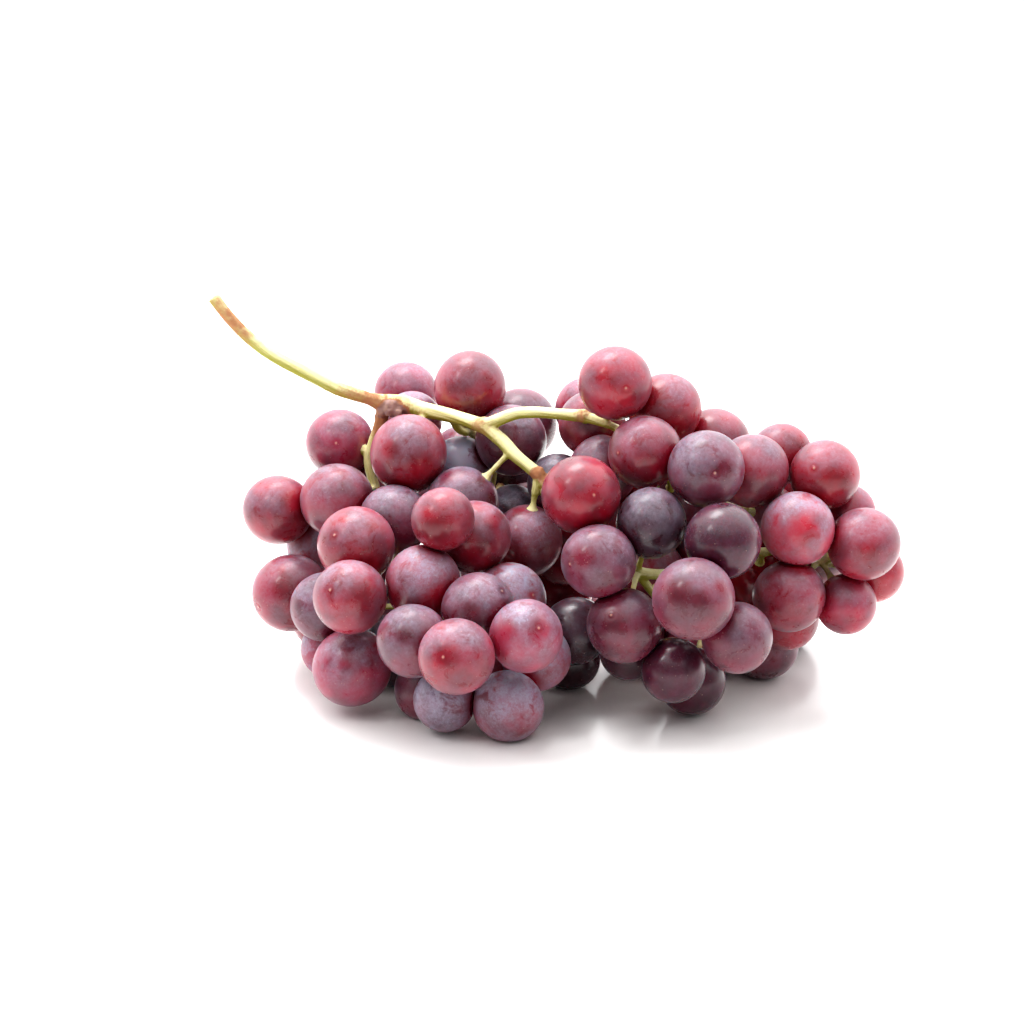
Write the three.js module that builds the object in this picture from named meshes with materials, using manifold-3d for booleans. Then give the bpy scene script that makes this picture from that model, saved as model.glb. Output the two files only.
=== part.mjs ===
// Bunch of red grapes, lying on its side: three clusters of berries on one branched stalk.
// Millimetres, +Z up, +X along the bunch, resting on z = 0 with the origin under its middle.
import * as THREE from "three";
import { mergeVertices } from "three/addons/utils/BufferGeometryUtils.js";
import Module from "manifold-3d";

const wasm = await Module();
wasm.setup();

// Driving dimensions of the berries
const PRESS = 1.1;
const CLUSTER_GAP = 0.8;
const FLOOR_SINK = 0.7;
const ROUNDING = 1.03;
const BALL_DETAIL = 1;
const LEAST_PRESS = 0.75;
const BEAD_RADIUS = 2.4;
const LEAST_HIDDEN_RADIUS = 8.8;
const MOST_HIDDEN_RADIUS = 10.3;
const SEED = 7;

// Driving dimensions of the stalk
const STALK_CLEARANCE = 0.6;
const CUT_CLEARANCE = 0.35;
const STEM_STEP = 6;
const PEDICEL_RADIUS = 0.75;
const PEDICEL_REACH = 14;
const PEDICEL_SIDES = 4;
const FLARE_RADIUS = 1.9;
const FLARE_LENGTH = 2.4;
const SLIM_STEM_RADIUS = 1.6;
const SAMPLE_STEP = 1.5;

// Middle of the bunch, which the origin is moved under
const MIDDLE_X = 12.2;
const MIDDLE_Y = 3.5;

// The view in which the berries were read: a lens of FOCAL pixels, EYE_DISTANCE from the middle
// of the bunch, looking down by VIEW_ANGLE at a point AIM_HEIGHT above the table.
const VIEW_ANGLE = THREE.MathUtils.degToRad(15.5);
const EYE_DISTANCE = 650;
const FOCAL = 2405;
const PICTURE_MIDDLE = 512;
const AIM_HEIGHT = 50.9;
const LEVEL = Math.cos(VIEW_ANGLE);
const TILT = Math.sin(VIEW_ANGLE);
const FARTHEST_FORWARD = -60;

const RED = new THREE.Color("#9c2c40");
const DEEP_RED = new THREE.Color("#86243a");
const PURPLE_RED = new THREE.Color("#7c2a42");
const YELLOW_GREEN = new THREE.Color("#c9c26a");

// Berries in front of the stalk, nearest first. across and down are the berry's middle in the
// view, in pixels. radius is in millimetres. back is how far behind the middle of the bunch it
// sits, where it leans on no nearer berry. The others go back until they lean on one.
const FRONT_BERRIES = [
  { cluster: "left", across: 456.5, down: 656.5, radius: 9.8, back: -45 },
  { cluster: "left", across: 526, down: 636, radius: 9.5, back: -38 },
  { cluster: "left", across: 350, down: 597, radius: 9.8, back: -22 },
  { cluster: "left", across: 508, down: 706, radius: 9.4, back: -24.5 },
  { cluster: "left", across: 536, down: 657, radius: 9.1 },
  { cluster: "left", across: 413, down: 641, radius: 9.5 },
  { cluster: "left", across: 478, down: 609, radius: 9.6 },
  { cluster: "left", across: 445, down: 700, radius: 8.4 },
  { cluster: "left", across: 425, down: 690, radius: 8.3 },
  { cluster: "left", across: 509, down: 599, radius: 10.0 },
  { cluster: "left", across: 423, down: 583, radius: 10.1 },
  { cluster: "left", across: 352, down: 667, radius: 10.6, back: -8 },
  { cluster: "left", across: 356, down: 545, radius: 10.4 },
  { cluster: "left", across: 326, down: 607, radius: 9.6 },
  { cluster: "left", across: 291, down: 593, radius: 10.8 },
  { cluster: "left", across: 332, down: 648, radius: 8.6 },
  { cluster: "left", across: 443, down: 519, radius: 8.4, back: -20 },
  { cluster: "left", across: 394, down: 520, radius: 9.8 },
  { cluster: "left", across: 474, down: 537, radius: 9.9 },
  { cluster: "left", across: 462, down: 503, radius: 10.1 },
  { cluster: "left", across: 337, down: 500, radius: 10.2 },
  { cluster: "left", across: 278, down: 510, radius: 9.8 },
  { cluster: "left", across: 319, down: 545, radius: 9.1 },
  { cluster: "left", across: 408.5, down: 454, radius: 10.8, back: 14 },
  { cluster: "right", across: 693.5, down: 599, radius: 10.6, back: -42 },
  { cluster: "right", across: 598.5, down: 561, radius: 9.7, back: -28 },
  { cluster: "right", across: 798, down: 528.5, radius: 9.9, back: -14 },
  { cluster: "right", across: 706, down: 469, radius: 10.2, back: -21 },
  { cluster: "right", across: 581, down: 495, radius: 10.5 },
  { cluster: "right", across: 624.5, down: 625.5, radius: 9.9 },
  { cluster: "right", across: 737, down: 637.5, radius: 9.3 },
  { cluster: "right", across: 723, down: 541, radius: 10.0 },
  { cluster: "right", across: 789, down: 596, radius: 9.7 },
  { cluster: "right", across: 651.5, down: 523, radius: 9.3 },
  { cluster: "right", across: 787, down: 617, radius: 9.0 },
  { cluster: "right", across: 864, down: 544, radius: 9.8 },
  { cluster: "right", across: 846, down: 604, radius: 8.2 },
  { cluster: "right", across: 673, down: 670, radius: 8.6 },
  { cluster: "right", across: 692, down: 681, radius: 9.1 },
  { cluster: "right", across: 764, down: 644, radius: 9.8 },
  { cluster: "right", across: 630, down: 650, radius: 8.2 },
  { cluster: "right", across: 575, down: 631, radius: 9.2 },
  { cluster: "right", across: 570, down: 660, radius: 8.3 },
  { cluster: "right", across: 645, down: 452, radius: 9.8 },
  { cluster: "right", across: 752, down: 471, radius: 9.9 },
  { cluster: "right", across: 825, down: 475, radius: 9.5 },
  { cluster: "right", across: 846, down: 514, radius: 8.2 },
  { cluster: "right", across: 873, down: 572, radius: 8.5 },
  { cluster: "right", across: 615, down: 383, radius: 10.0, back: -8 },
  { cluster: "right", across: 665, down: 410, radius: 9.9 },
  { cluster: "right", across: 714, down: 445, radius: 10.2 },
  { cluster: "right", across: 781, down: 454, radius: 8.4 },
  { cluster: "back", across: 527, down: 541, radius: 9.9 },
];

// Berries behind the stalk, nearest first
const REAR_BERRIES = [
  { cluster: "left", across: 340, down: 443, radius: 9.8 },
  { cluster: "right", across: 603, down: 470, radius: 9.5 },
  { cluster: "right", across: 592, down: 424, radius: 9.4 },
  { cluster: "right", across: 588, down: 410, radius: 9.4 },
  { cluster: "back", across: 558, down: 484, radius: 8.6 },
  { cluster: "back", across: 513, down: 514, radius: 8.4 },
  { cluster: "back", across: 511, down: 440, radius: 10.1 },
  { cluster: "back", across: 460, down: 470, radius: 9.4 },
  { cluster: "back", across: 470, down: 388, radius: 10.3 },
  { cluster: "back", across: 520, down: 425, radius: 10.6 },
  { cluster: "back", across: 412, down: 421, radius: 8.5 },
  { cluster: "back", across: 406, down: 394, radius: 9.3 },
  { cluster: "right", across: 752, down: 576, radius: 9.4 },
  { cluster: "right", across: 566, down: 553, radius: 9.3 },
  { cluster: "right", across: 560, down: 592, radius: 9.3 },
  { cluster: "back", across: 463, down: 456, radius: 9.0 },
  { cluster: "left", across: 497, down: 668, radius: 9.0 },
];

// The clusters, and where the unseen berries of each gather: the middles and half widths of
// egg-shaped spaces, measured before the bunch is moved to its origin
const CLUSTERS = [
  { name: "left", color: RED },
  { name: "right", color: DEEP_RED },
  { name: "back", color: PURPLE_RED },
];
const GATHERINGS = [
  { cluster: "left", middle: [-34, 4, 34], reach: [44, 54, 44] },
  { cluster: "left", middle: [-20, -18, 26], reach: [30, 36, 36] },
  { cluster: "right", middle: [52, 6, 38], reach: [58, 50, 50] },
  { cluster: "right", middle: [34, 6, 30], reach: [34, 42, 42] },
  { cluster: "right", middle: [72, 6, 40], reach: [36, 40, 42] },
  { cluster: "back", middle: [-4, 28, 38], reach: [40, 46, 48] },
];
const DIRECTIONS = 220;
const LEAST_FALL = 0.05;
const OUTLINE_POINTS = 16;
const OUTLINE_INSET = 0.4;
const OUTLINE_DEPTH = 3;
const INNERMOST = -60;

// Seen stems: across and down in the view in pixels, back and radius in millimetres
const PEDUNCLE_AND_AXIS = [
  { across: 213, down: 297, back: 4, radius: 1.75 },
  { across: 235, down: 324, back: 6, radius: 1.7 },
  { across: 265, down: 350, back: 9, radius: 1.8 },
  { across: 300, down: 369, back: 12, radius: 2.0 },
  { across: 338, down: 388, back: 15, radius: 2.1 },
  { across: 368, down: 398, back: 18, radius: 1.8 },
  { across: 384, down: 403, back: 20, radius: 2.7 },
  { across: 402, down: 404, back: 20, radius: 2.6 },
  { across: 420, down: 409, back: 20, radius: 2.3 },
  { across: 440, down: 413, back: 18, radius: 2.1 },
  { across: 460, down: 418, back: 15, radius: 1.9 },
  { across: 478, down: 424, back: 12, radius: 2.1 },
  { across: 488, down: 428, back: 11, radius: 2.2 },
];
const UPPER_ARM = [
  { across: 484, down: 426, back: 11, radius: 2.0 },
  { across: 505, down: 417, back: 9, radius: 1.75 },
  { across: 520, down: 413, back: 8, radius: 1.65 },
  { across: 540, down: 412.5, back: 6, radius: 1.6 },
  { across: 560, down: 414, back: 4.5, radius: 1.6 },
  { across: 583, down: 416, back: 3, radius: 1.8 },
];
const LOWER_ARM = [
  { across: 484, down: 426, back: 11, radius: 2.0 },
  { across: 503, down: 442, back: 9.5, radius: 2.0 },
  { across: 515, down: 455, back: 8, radius: 1.9 },
  { across: 527, down: 465, back: 7, radius: 1.75 },
  { across: 539, down: 475, back: 6, radius: 1.9 },
];
const HANGING_STEM = [
  { across: 539, down: 473, back: 6, radius: 1.5 },
  { across: 537, down: 485, back: 6.5, radius: 1.3 },
  { across: 535, down: 494, back: 7.5, radius: 1.2 },
];
const LEFT_ARM_TOP = [
  { across: 384, down: 403, back: 20, radius: 2.2 },
  { across: 380, down: 425, back: 23, radius: 1.8 },
  { across: 372, down: 445, back: 25, radius: 1.5 },
  { across: 369, down: 465, back: 26, radius: 1.5 },
];

// Unseen stems inside the bunch: places before the bunch is moved to its origin, in millimetres
const LEFT_ARM_REST = [
  { at: [-36.5, 26, 44], radius: 1.4 },
  { at: [-33, 15, 33], radius: 1.3 },
  { at: [-29, 0, 26], radius: 1.2 },
  { at: [-27, -13, 22], radius: 1.1 },
];
const RIGHT_ARM = [
  { at: [15.5, 3, 50.5], radius: 1.7 },
  { at: [25, -5, 43], radius: 1.6 },
  { at: [33.5, -11.5, 37.5], radius: 1.5 },
  { at: [48, -6, 36], radius: 1.4 },
  { at: [62, 0, 39], radius: 1.3 },
  { at: [75, 2, 39], radius: 1.2 },
  { at: [84, -3.6, 37.5], radius: 1.0 },
];
const RIGHT_ARM_FOOT = [
  { at: [33.5, -11.5, 37.5], radius: 1.3 },
  { at: [41, -7, 27], radius: 1.2 },
  { at: [52, -5, 20], radius: 1.1 },
];
const TOP_ARM = [
  { at: [27, 7.5, 73], radius: 1.1 },
  { at: [34, 12, 68], radius: 1.1 },
  { at: [42, 7, 60], radius: 1.1 },
  { at: [52, 1, 55], radius: 1.0 },
  { at: [63, 5, 50], radius: 1.0 },
];
const BACK_ARM = [
  { at: [-15, 25.5, 68], radius: 1.2 },
  { at: [-12.8, 29, 66], radius: 1.2 },
  { at: [-13.5, 37.5, 65.1], radius: 1.2 },
  { at: [-9.5, 39.5, 61.5], radius: 1.2 },
  { at: [-5.5, 40, 55.5], radius: 1.2 },
  { at: [-6, 41, 47], radius: 1.2 },
  { at: [-8, 42, 34], radius: 1.2 },
  { at: [-4, 33, 22], radius: 1.1 },
];
const BACK_ARM_ROOT = { across: 452, down: 416, back: 16.5, radius: 1.4 };

// Place in the bunch of a point of the view, `back` millimetres behind the bunch's middle
function viewPoint(across, down, back) {
  const away = EYE_DISTANCE + back;
  const side = ((across - PICTURE_MIDDLE) / FOCAL) * away;
  const rise = ((PICTURE_MIDDLE - down) / FOCAL) * away;
  return new THREE.Vector3(
    side,
    back * LEVEL + rise * TILT,
    AIM_HEIGHT - back * TILT + rise * LEVEL,
  );
}

// The other way: where a point shows in the view, and how far behind the bunch's middle it is
function viewOf(point) {
  const height = point.z - AIM_HEIGHT;
  const back = point.y * LEVEL - height * TILT;
  const rise = point.y * TILT + height * LEVEL;
  const away = EYE_DISTANCE + back;
  const scale = FOCAL / away;
  return {
    across: PICTURE_MIDDLE + point.x * scale,
    down: PICTURE_MIDDLE - rise * scale,
    back,
    scale,
  };
}

// Farther of the two distances along a line at which it is `reach` from a centre, or null
function farMeeting(start, direction, centre, reach) {
  const toCentre = centre.clone().sub(start);
  const length = direction.lengthSq();
  const middle = direction.dot(toCentre) / length;
  const inside = middle * middle - (toCentre.lengthSq() - reach * reach) / length;
  return inside > 0 ? middle + Math.sqrt(inside) : null;
}

const spacing = (one, other) => (one.cluster === other.cluster ? -PRESS : CLUSTER_GAP);

// A seen berry goes back along its line of sight until it leans on a nearer berry or a stem
function leanBack(berry, placed, stemPoints) {
  const eye = viewPoint(berry.across, berry.down, -EYE_DISTANCE);
  const sight = viewPoint(berry.across, berry.down, 1 - EYE_DISTANCE).sub(eye);
  let away = EYE_DISTANCE + (berry.back ?? FARTHEST_FORWARD);
  for (const other of placed) {
    const reach = berry.radius + other.radius + spacing(berry, other);
    away = Math.max(away, farMeeting(eye, sight, other.centre, reach) ?? 0);
  }
  for (const stem of stemPoints) {
    const reach = berry.radius + stem.radius + STALK_CLEARANCE;
    away = Math.max(away, farMeeting(eye, sight, stem.centre, reach) ?? 0);
  }
  return eye.addScaledVector(sight, away);
}

// Points every SAMPLE_STEP along the stems, each with its radius
function stemSamples(stem) {
  const samples = [];
  for (let i = 1; i < stem.length; i += 1) {
    const [from, to] = [stem[i - 1], stem[i]];
    const count = Math.max(1, Math.trunc(from.centre.distanceTo(to.centre) / SAMPLE_STEP));
    for (let k = 0; k <= count; k += 1) {
      const centre = from.centre.clone().lerp(to.centre, k / count);
      samples.push({ centre, radius: THREE.MathUtils.lerp(from.radius, to.radius, k / count) });
    }
  }
  return samples;
}

const seenStem = (rows) =>
  rows.map(({ across, down, back, radius }) => ({ centre: viewPoint(across, down, back), radius }));
const unseenStem = (rows) =>
  rows.map(({ at, radius }) => ({ centre: new THREE.Vector3(...at), radius }));

// Every main stem as a list of places with their radii
function layStems() {
  const axis = seenStem(PEDUNCLE_AND_AXIS);
  const upper = seenStem(UPPER_ARM);
  const lower = seenStem(LOWER_ARM);
  return [
    axis,
    upper,
    lower,
    seenStem(HANGING_STEM),
    [...seenStem(LEFT_ARM_TOP), ...unseenStem(LEFT_ARM_REST)],
    [lower.at(-1), ...unseenStem(RIGHT_ARM)],
    unseenStem(RIGHT_ARM_FOOT),
    [upper.at(-1), ...unseenStem(TOP_ARM)],
    [...seenStem([BACK_ARM_ROOT]), ...unseenStem(BACK_ARM)],
  ];
}

// Whether an unseen berry stays within the outline that the seen ones make
function staysUnseen(berry, seenBerries) {
  const own = viewOf(berry.centre);
  const radius = (berry.radius - OUTLINE_INSET) * own.scale;
  for (let i = 0; i < OUTLINE_POINTS; i += 1) {
    const turn = (2 * Math.PI * i) / OUTLINE_POINTS;
    const across = own.across + radius * Math.cos(turn);
    const down = own.down + radius * Math.sin(turn);
    const covered = seenBerries.some(({ view, radius: size }) => {
      const near = view.back < own.back + OUTLINE_DEPTH;
      const inside = (across - view.across) ** 2 + (down - view.down) ** 2 < (size * view.scale) ** 2;
      return near && inside;
    });
    if (!covered) return false;
  }
  return true;
}

// Where a berry that slides in towards a cluster's middle from one side comes to lean on it
function slideIn(start, direction, radius, cluster, placed) {
  let distance = INNERMOST;
  let leans = false;
  for (const other of placed) {
    const reach = radius + other.radius + spacing({ cluster }, other);
    const meeting = farMeeting(start, direction, other.centre, reach);
    if (meeting !== null && meeting > distance) {
      distance = meeting;
      leans = other.cluster === cluster;
    }
  }
  return leans ? distance : null;
}

// One more unseen berry: of all sides of all gatherings, the place deepest in one
function nextUnseen(radius, placed, seenBerries, stemPoints) {
  const goldenAngle = Math.PI * (3 - Math.sqrt(5));
  let best = null;
  for (const { cluster, middle, reach } of GATHERINGS) {
    for (let k = 0; k < DIRECTIONS; k += 1) {
      const rise = 1 - (2 * (k + 0.5)) / DIRECTIONS;
      const level = Math.sqrt(1 - rise * rise);
      const around = new THREE.Vector3(Math.cos(k * goldenAngle), Math.sin(k * goldenAngle), 0);
      const ways = [[new THREE.Vector3(...middle), new THREE.Vector3(around.x * level, around.y * level, rise)]];
      if (rise <= -LEAST_FALL) {
        ways.push([new THREE.Vector3(middle[0], middle[1], radius - FLOOR_SINK), around]);
      }
      for (const [start, way] of ways) {
        const distance = slideIn(start, way, radius, cluster, placed);
        if (distance === null) continue;
        const edge = 1 / Math.hypot(way.x / reach[0], way.y / reach[1], way.z / reach[2]);
        if (distance + radius > edge) continue;
        if (best !== null && distance / edge >= best.depth) continue;
        const centre = start.clone().addScaledVector(way, distance);
        if (centre.z < radius - FLOOR_SINK - 1e-6) continue;
        const berry = { cluster, radius, centre, depth: distance / edge, seen: false };
        const clear = stemPoints.every(
          (stem) => stem.centre.distanceTo(centre) >= radius + stem.radius + STALK_CLEARANCE,
        );
        if (clear && staysUnseen(berry, seenBerries)) best = berry;
      }
    }
  }
  return best;
}

// All berries: the seen ones by the lines of sight, then unseen ones until the clusters are full
function layBerries(stems) {
  const stemPoints = stems.flatMap(stemSamples);
  const seenStemPoints = [0, 1, 2, 3].flatMap((i) => stemSamples(stems[i]));
  seenStemPoints.push(...stemSamples(stems[4].slice(0, LEFT_ARM_TOP.length)));
  const berries = [];
  for (const row of FRONT_BERRIES) {
    berries.push({ ...row, seen: true, centre: leanBack(row, berries, []) });
  }
  for (const row of REAR_BERRIES) {
    berries.push({ ...row, seen: true, centre: leanBack(row, berries, seenStemPoints) });
  }
  const seenBerries = berries.map((berry) => ({ ...berry, view: viewOf(berry.centre) }));
  let state = SEED;
  const draw = () => {
    state = (1664525 * state + 1013904223) % 4294967296;
    return state / 4294967296;
  };
  for (;;) {
    const radius = LEAST_HIDDEN_RADIUS + (MOST_HIDDEN_RADIUS - LEAST_HIDDEN_RADIUS) * draw();
    const berry = nextUnseen(radius, berries, seenBerries, stemPoints);
    if (berry === null) return berries;
    berries.push(berry);
  }
}

// Distance from a point to the stretch between two others
function distanceToStretch(point, from, to) {
  return new THREE.Line3(from, to).closestPointToPoint(point, true, new THREE.Vector3()).distanceTo(point);
}

// The shortest straight way from a stem to each berry that no other berry stands in
function layPedicels(berries, stems) {
  const roots = stems.flatMap(stemSamples);
  const pedicels = [];
  for (const berry of berries) {
    let best = null;
    for (const root of roots) {
      const length = root.centre.distanceTo(berry.centre) - berry.radius;
      if (length > PEDICEL_REACH || (best !== null && length >= best.length)) continue;
      const free = berries.every((other) => {
        const room = other.radius + PEDICEL_RADIUS + STALK_CLEARANCE;
        return other === berry || distanceToStretch(other.centre, root.centre, berry.centre) > room;
      });
      if (free) best = { root, length };
    }
    if (best === null) continue;
    berry.axis = berry.centre.clone().sub(best.root.centre).normalize();
    pedicels.push({ berry, root: best.root });
  }
  return pedicels;
}

// A closed solid of a geometry, its shared vertices joined
function solidOf(geometry) {
  const bare = new THREE.BufferGeometry();
  bare.setAttribute("position", geometry.getAttribute("position"));
  if (geometry.index) bare.setIndex(geometry.index);
  const merged = mergeVertices(bare, 1e-5);
  const mesh = new wasm.Mesh({
    numProp: 3,
    vertProperties: Float32Array.from(merged.getAttribute("position").array),
    triVerts: Uint32Array.from(merged.index.array),
  });
  return new wasm.Manifold(mesh);
}

// The geometry of a solid, with the bunch moved to its origin
function geometryOf(solid) {
  const mesh = solid.getMesh();
  const geometry = new THREE.BufferGeometry();
  geometry.setAttribute("position", new THREE.BufferAttribute(Float32Array.from(mesh.vertProperties), 3));
  geometry.setIndex(new THREE.BufferAttribute(Uint32Array.from(mesh.triVerts), 1));
  geometry.translate(-MIDDLE_X, -MIDDLE_Y, 0);
  geometry.computeVertexNormals();
  return geometry;
}

// A berry as a faceted ball
function berrySolid(berry, extra = 0) {
  const ball = new THREE.IcosahedronGeometry(berry.radius * ROUNDING + extra, BALL_DETAIL);
  ball.translate(berry.centre.x, berry.centre.y, berry.centre.z);
  return solidOf(ball);
}

// A round stem through the given places, its radius changing evenly from one to the next
function stemSolid(stem, sides) {
  const curve = new THREE.CatmullRomCurve3(stem.map(({ centre }) => centre), false, "centripetal");
  const steps = Math.max(1, Math.round(curve.getLength() / STEM_STEP));
  const corners = Array.from({ length: sides }, (_, i) => (2 * Math.PI * i) / sides);
  const section = new THREE.Shape(corners.map((turn) => new THREE.Vector2(Math.cos(turn), Math.sin(turn))));
  const tube = new THREE.ExtrudeGeometry(section, {
    steps,
    bevelEnabled: false,
    extrudePath: curve,
  });
  const rings = curve.getSpacedPoints(steps);
  const radii = rings.map((ring, i) => {
    const along = curve.getUtoTmapping(i / steps) * (stem.length - 1);
    const before = Math.min(stem.length - 2, Math.trunc(along));
    return THREE.MathUtils.lerp(stem[before].radius, stem[before + 1].radius, along - before);
  });
  const position = tube.getAttribute("position");
  const vertex = new THREE.Vector3();
  for (let i = 0; i < position.count; i += 1) {
    vertex.fromBufferAttribute(position, i);
    let ring = 0;
    for (let k = 1; k <= steps; k += 1) {
      if (rings[k].distanceToSquared(vertex) < rings[ring].distanceToSquared(vertex)) ring = k;
    }
    vertex.sub(rings[ring]).multiplyScalar(radii[ring]).add(rings[ring]);
    position.setXYZ(i, vertex.x, vertex.y, vertex.z);
  }
  return solidOf(tube);
}

// A berry's own little stem, which widens to a flare where it meets the berry
function pedicelSolid({ berry, root }) {
  const end = root.centre.distanceTo(berry.centre) - berry.radius * ROUNDING - CUT_CLEARANCE;
  const profile = [
    new THREE.Vector2(0, 0),
    new THREE.Vector2(PEDICEL_RADIUS, 0),
    new THREE.Vector2(PEDICEL_RADIUS, end - FLARE_LENGTH),
    new THREE.Vector2(FLARE_RADIUS, end),
    new THREE.Vector2(0, end),
  ];
  const stem = new THREE.LatheGeometry(profile, PEDICEL_SIDES);
  stem.applyQuaternion(new THREE.Quaternion().setFromUnitVectors(new THREE.Vector3(0, 1, 0), berry.axis));
  stem.translate(root.centre.x, root.centre.y, root.centre.z);
  return solidOf(stem);
}

// All stems as one body, cut clear of every berry; scraps beyond a berry are dropped
function stalkSolid(stems, pedicels, berries) {
  const sides = (stem) => (stem[0].radius > SLIM_STEM_RADIUS ? 7 : 5);
  let solid = stems.map((stem) => stemSolid(stem, sides(stem))).reduce((all, one) => all.add(one));
  for (const pedicel of pedicels) solid = solid.add(pedicelSolid(pedicel));
  for (const berry of berries) solid = solid.subtract(berrySolid(berry, CUT_CLEARANCE));
  return solid.decompose().sort((one, other) => other.volume() - one.volume())[0];
}

// Small beads between berries that all but touch, as few as make the cluster one body
function touchBeads(berries) {
  const pairs = berries.flatMap((one, i) =>
    berries.slice(0, i).map((other, j) => {
      const gap = one.centre.distanceTo(other.centre) - one.radius - other.radius;
      return { i, j, gap };
    }),
  );
  pairs.sort((one, other) => one.gap - other.gap);
  const group = berries.map((_, i) => i);
  const beads = [];
  for (const { i, j, gap } of pairs) {
    if (group[i] === group[j]) continue;
    const left = group[j];
    group.forEach((own, k) => {
      if (own === left) group[k] = group[i];
    });
    if (gap < -LEAST_PRESS) continue;
    const way = berries[j].centre.clone().sub(berries[i].centre).normalize();
    const bead = new THREE.IcosahedronGeometry(BEAD_RADIUS + gap / 2, 0);
    const middle = berries[i].centre.clone().addScaledVector(way, berries[i].radius + gap / 2);
    bead.translate(middle.x, middle.y, middle.z);
    beads.push(solidOf(bead));
  }
  return beads;
}

// One cluster of berries as one body, flat where it rests on the table
function clusterSolid(berries) {
  const table = new THREE.BoxGeometry(400, 400, 20);
  table.translate(0, 0, -10);
  return [...berries.map((berry) => berrySolid(berry)), ...touchBeads(berries)]
    .reduce((all, one) => all.add(one))
    .subtract(solidOf(table));
}

function mesh(name, solid, color, roughness) {
  const made = new THREE.Mesh(
    geometryOf(solid),
    new THREE.MeshStandardMaterial({ color, roughness, metalness: 0 }),
  );
  made.name = name;
  return made;
}

const stems = layStems();
const berries = layBerries(stems);
const pedicels = layPedicels(berries, stems);

const bunch = new THREE.Group();
bunch.add(mesh("stalk", stalkSolid(stems, pedicels, berries), YELLOW_GREEN, 0.7));
for (const { name, color } of CLUSTERS) {
  const own = berries.filter((berry) => berry.cluster === name);
  bunch.add(mesh(`berries_${name}`, clusterSolid(own), color, 0.45));
}

export default bunch;
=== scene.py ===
"""A bunch of red grapes lying on its side: three clusters of berries on one branched stalk.

Places and sizes are in millimetres until a mesh is made, and in metres from there on.
"""

import math
from types import SimpleNamespace
from typing import NamedTuple

import bmesh
import bpy
import numpy as np
from bpy.props import FloatProperty, FloatVectorProperty, PointerProperty
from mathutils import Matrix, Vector, kdtree, noise


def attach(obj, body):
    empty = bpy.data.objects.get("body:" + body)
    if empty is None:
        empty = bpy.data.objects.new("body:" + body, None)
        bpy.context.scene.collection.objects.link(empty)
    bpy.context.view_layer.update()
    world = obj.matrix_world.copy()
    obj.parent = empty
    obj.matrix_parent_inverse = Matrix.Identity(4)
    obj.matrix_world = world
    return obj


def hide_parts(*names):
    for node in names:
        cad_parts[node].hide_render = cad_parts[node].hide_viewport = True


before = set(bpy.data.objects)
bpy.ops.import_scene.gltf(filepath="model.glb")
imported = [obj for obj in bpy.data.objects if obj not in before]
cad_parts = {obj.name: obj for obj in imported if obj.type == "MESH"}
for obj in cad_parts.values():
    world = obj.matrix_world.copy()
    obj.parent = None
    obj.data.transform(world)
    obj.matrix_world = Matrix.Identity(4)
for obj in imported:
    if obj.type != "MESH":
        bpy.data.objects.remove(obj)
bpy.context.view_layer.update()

bl_info = {
    "name": "Bunch of Red Grapes",
    "version": (1, 0, 0),
    "blender": (4, 5, 0),
    "location": "View3D > Sidebar > Grapes",
    "description": "Makes a bunch of red grapes lying on a glossy white table",
    "category": "Object",
}

MM = 0.001
BODY = "root"

# The rule that places the berries, in millimetres
PRESS = 1.1
CLUSTER_GAP = 0.8
FLOOR_SINK = 0.7
LEAST_HIDDEN_RADIUS = 8.8
MOST_HIDDEN_RADIUS = 10.3
SEED = 7
STALK_CLEARANCE = 0.6
PEDICEL_ROOM = 0.75
PEDICEL_REACH = 14
SAMPLE_STEP = 1.5
MIDDLE = np.array([12.2, 3.5, 0.0])

# The view in which the bunch is seen: a lens of FOCAL pixels, EYE_DISTANCE from the middle of the
# bunch, looking down by VIEW_ANGLE at a point AIM_HEIGHT above the table
VIEW_ANGLE = math.radians(15.5)
EYE_DISTANCE = 650.0
FOCAL = 2405.0
PICTURE_WIDTH = 1024
PICTURE_MIDDLE = 512.0
AIM_HEIGHT = 50.9
LEVEL = math.cos(VIEW_ANGLE)
TILT = math.sin(VIEW_ANGLE)
FARTHEST_FORWARD = -60.0
SENSOR_WIDTH = 36.0
TOWARDS_EYE = np.array([0.0, -LEVEL, TILT])

# Where the unseen berries may sit
DIRECTIONS = 220
LEAST_FALL = 0.05
OUTLINE_POINTS = 16
OUTLINE_INSET = 0.4
OUTLINE_DEPTH = 3.0
INNERMOST = -60.0
FLOOR_SLACK = 1e-6

# How many of the stems, the first ones, the view shows whole. Of the next it shows the top
SEEN_STEMS = 4

# The rule of the seeded draws of the unseen berries' sizes
DRAW_FACTOR = 1664525
DRAW_STEP = 1013904223
DRAW_RANGE = 4294967296

# A berry's mesh and form, in millimetres
AROUND = 44
RINGS = 30
POLE_CROWDING = 0.62
NEARLY_ZERO = 1e-9
SCAR_PIT = 0.28
SCAR_PIT_WIDTH = 1.5
SCAR_DOT = 0.3
SCAR_DOT_WIDTH = 0.42
SEAT_DEPTH = 0.6
SEAT_WIDTH = 2.4

# Where it is pressed flat: how soft the edge is, how far berries and table stay apart, how far the
# mark of it fades, and the least share by which a place must face what presses it
SOFTNESS = 0.22
TOUCH_GAP = 0.05
TABLE_GAP = 0.02
TOUCH_FADE = 0.55
LEAST_FACING = 0.05
OUT_OF_REACH = 1e3

# How berries differ: the share of the oval form, the swellings, the place in the skin's patterns,
# the tone and, where a berry is unseen, the wax
OVAL_SHARES = (0.3, 1.0)
SWELLINGS = 3
SWELLING_TURNS = 1.6
SWELLING_SHIFT = 6.28
PATTERN_SHIFT = 200
TONE_SHARES = (0.88, 1.12)
HIDDEN_BLOOM = (0.45, 0.8)

# How far a flower scar that isn't seen is turned out of sight
SCAR_TURN = 1.6

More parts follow.
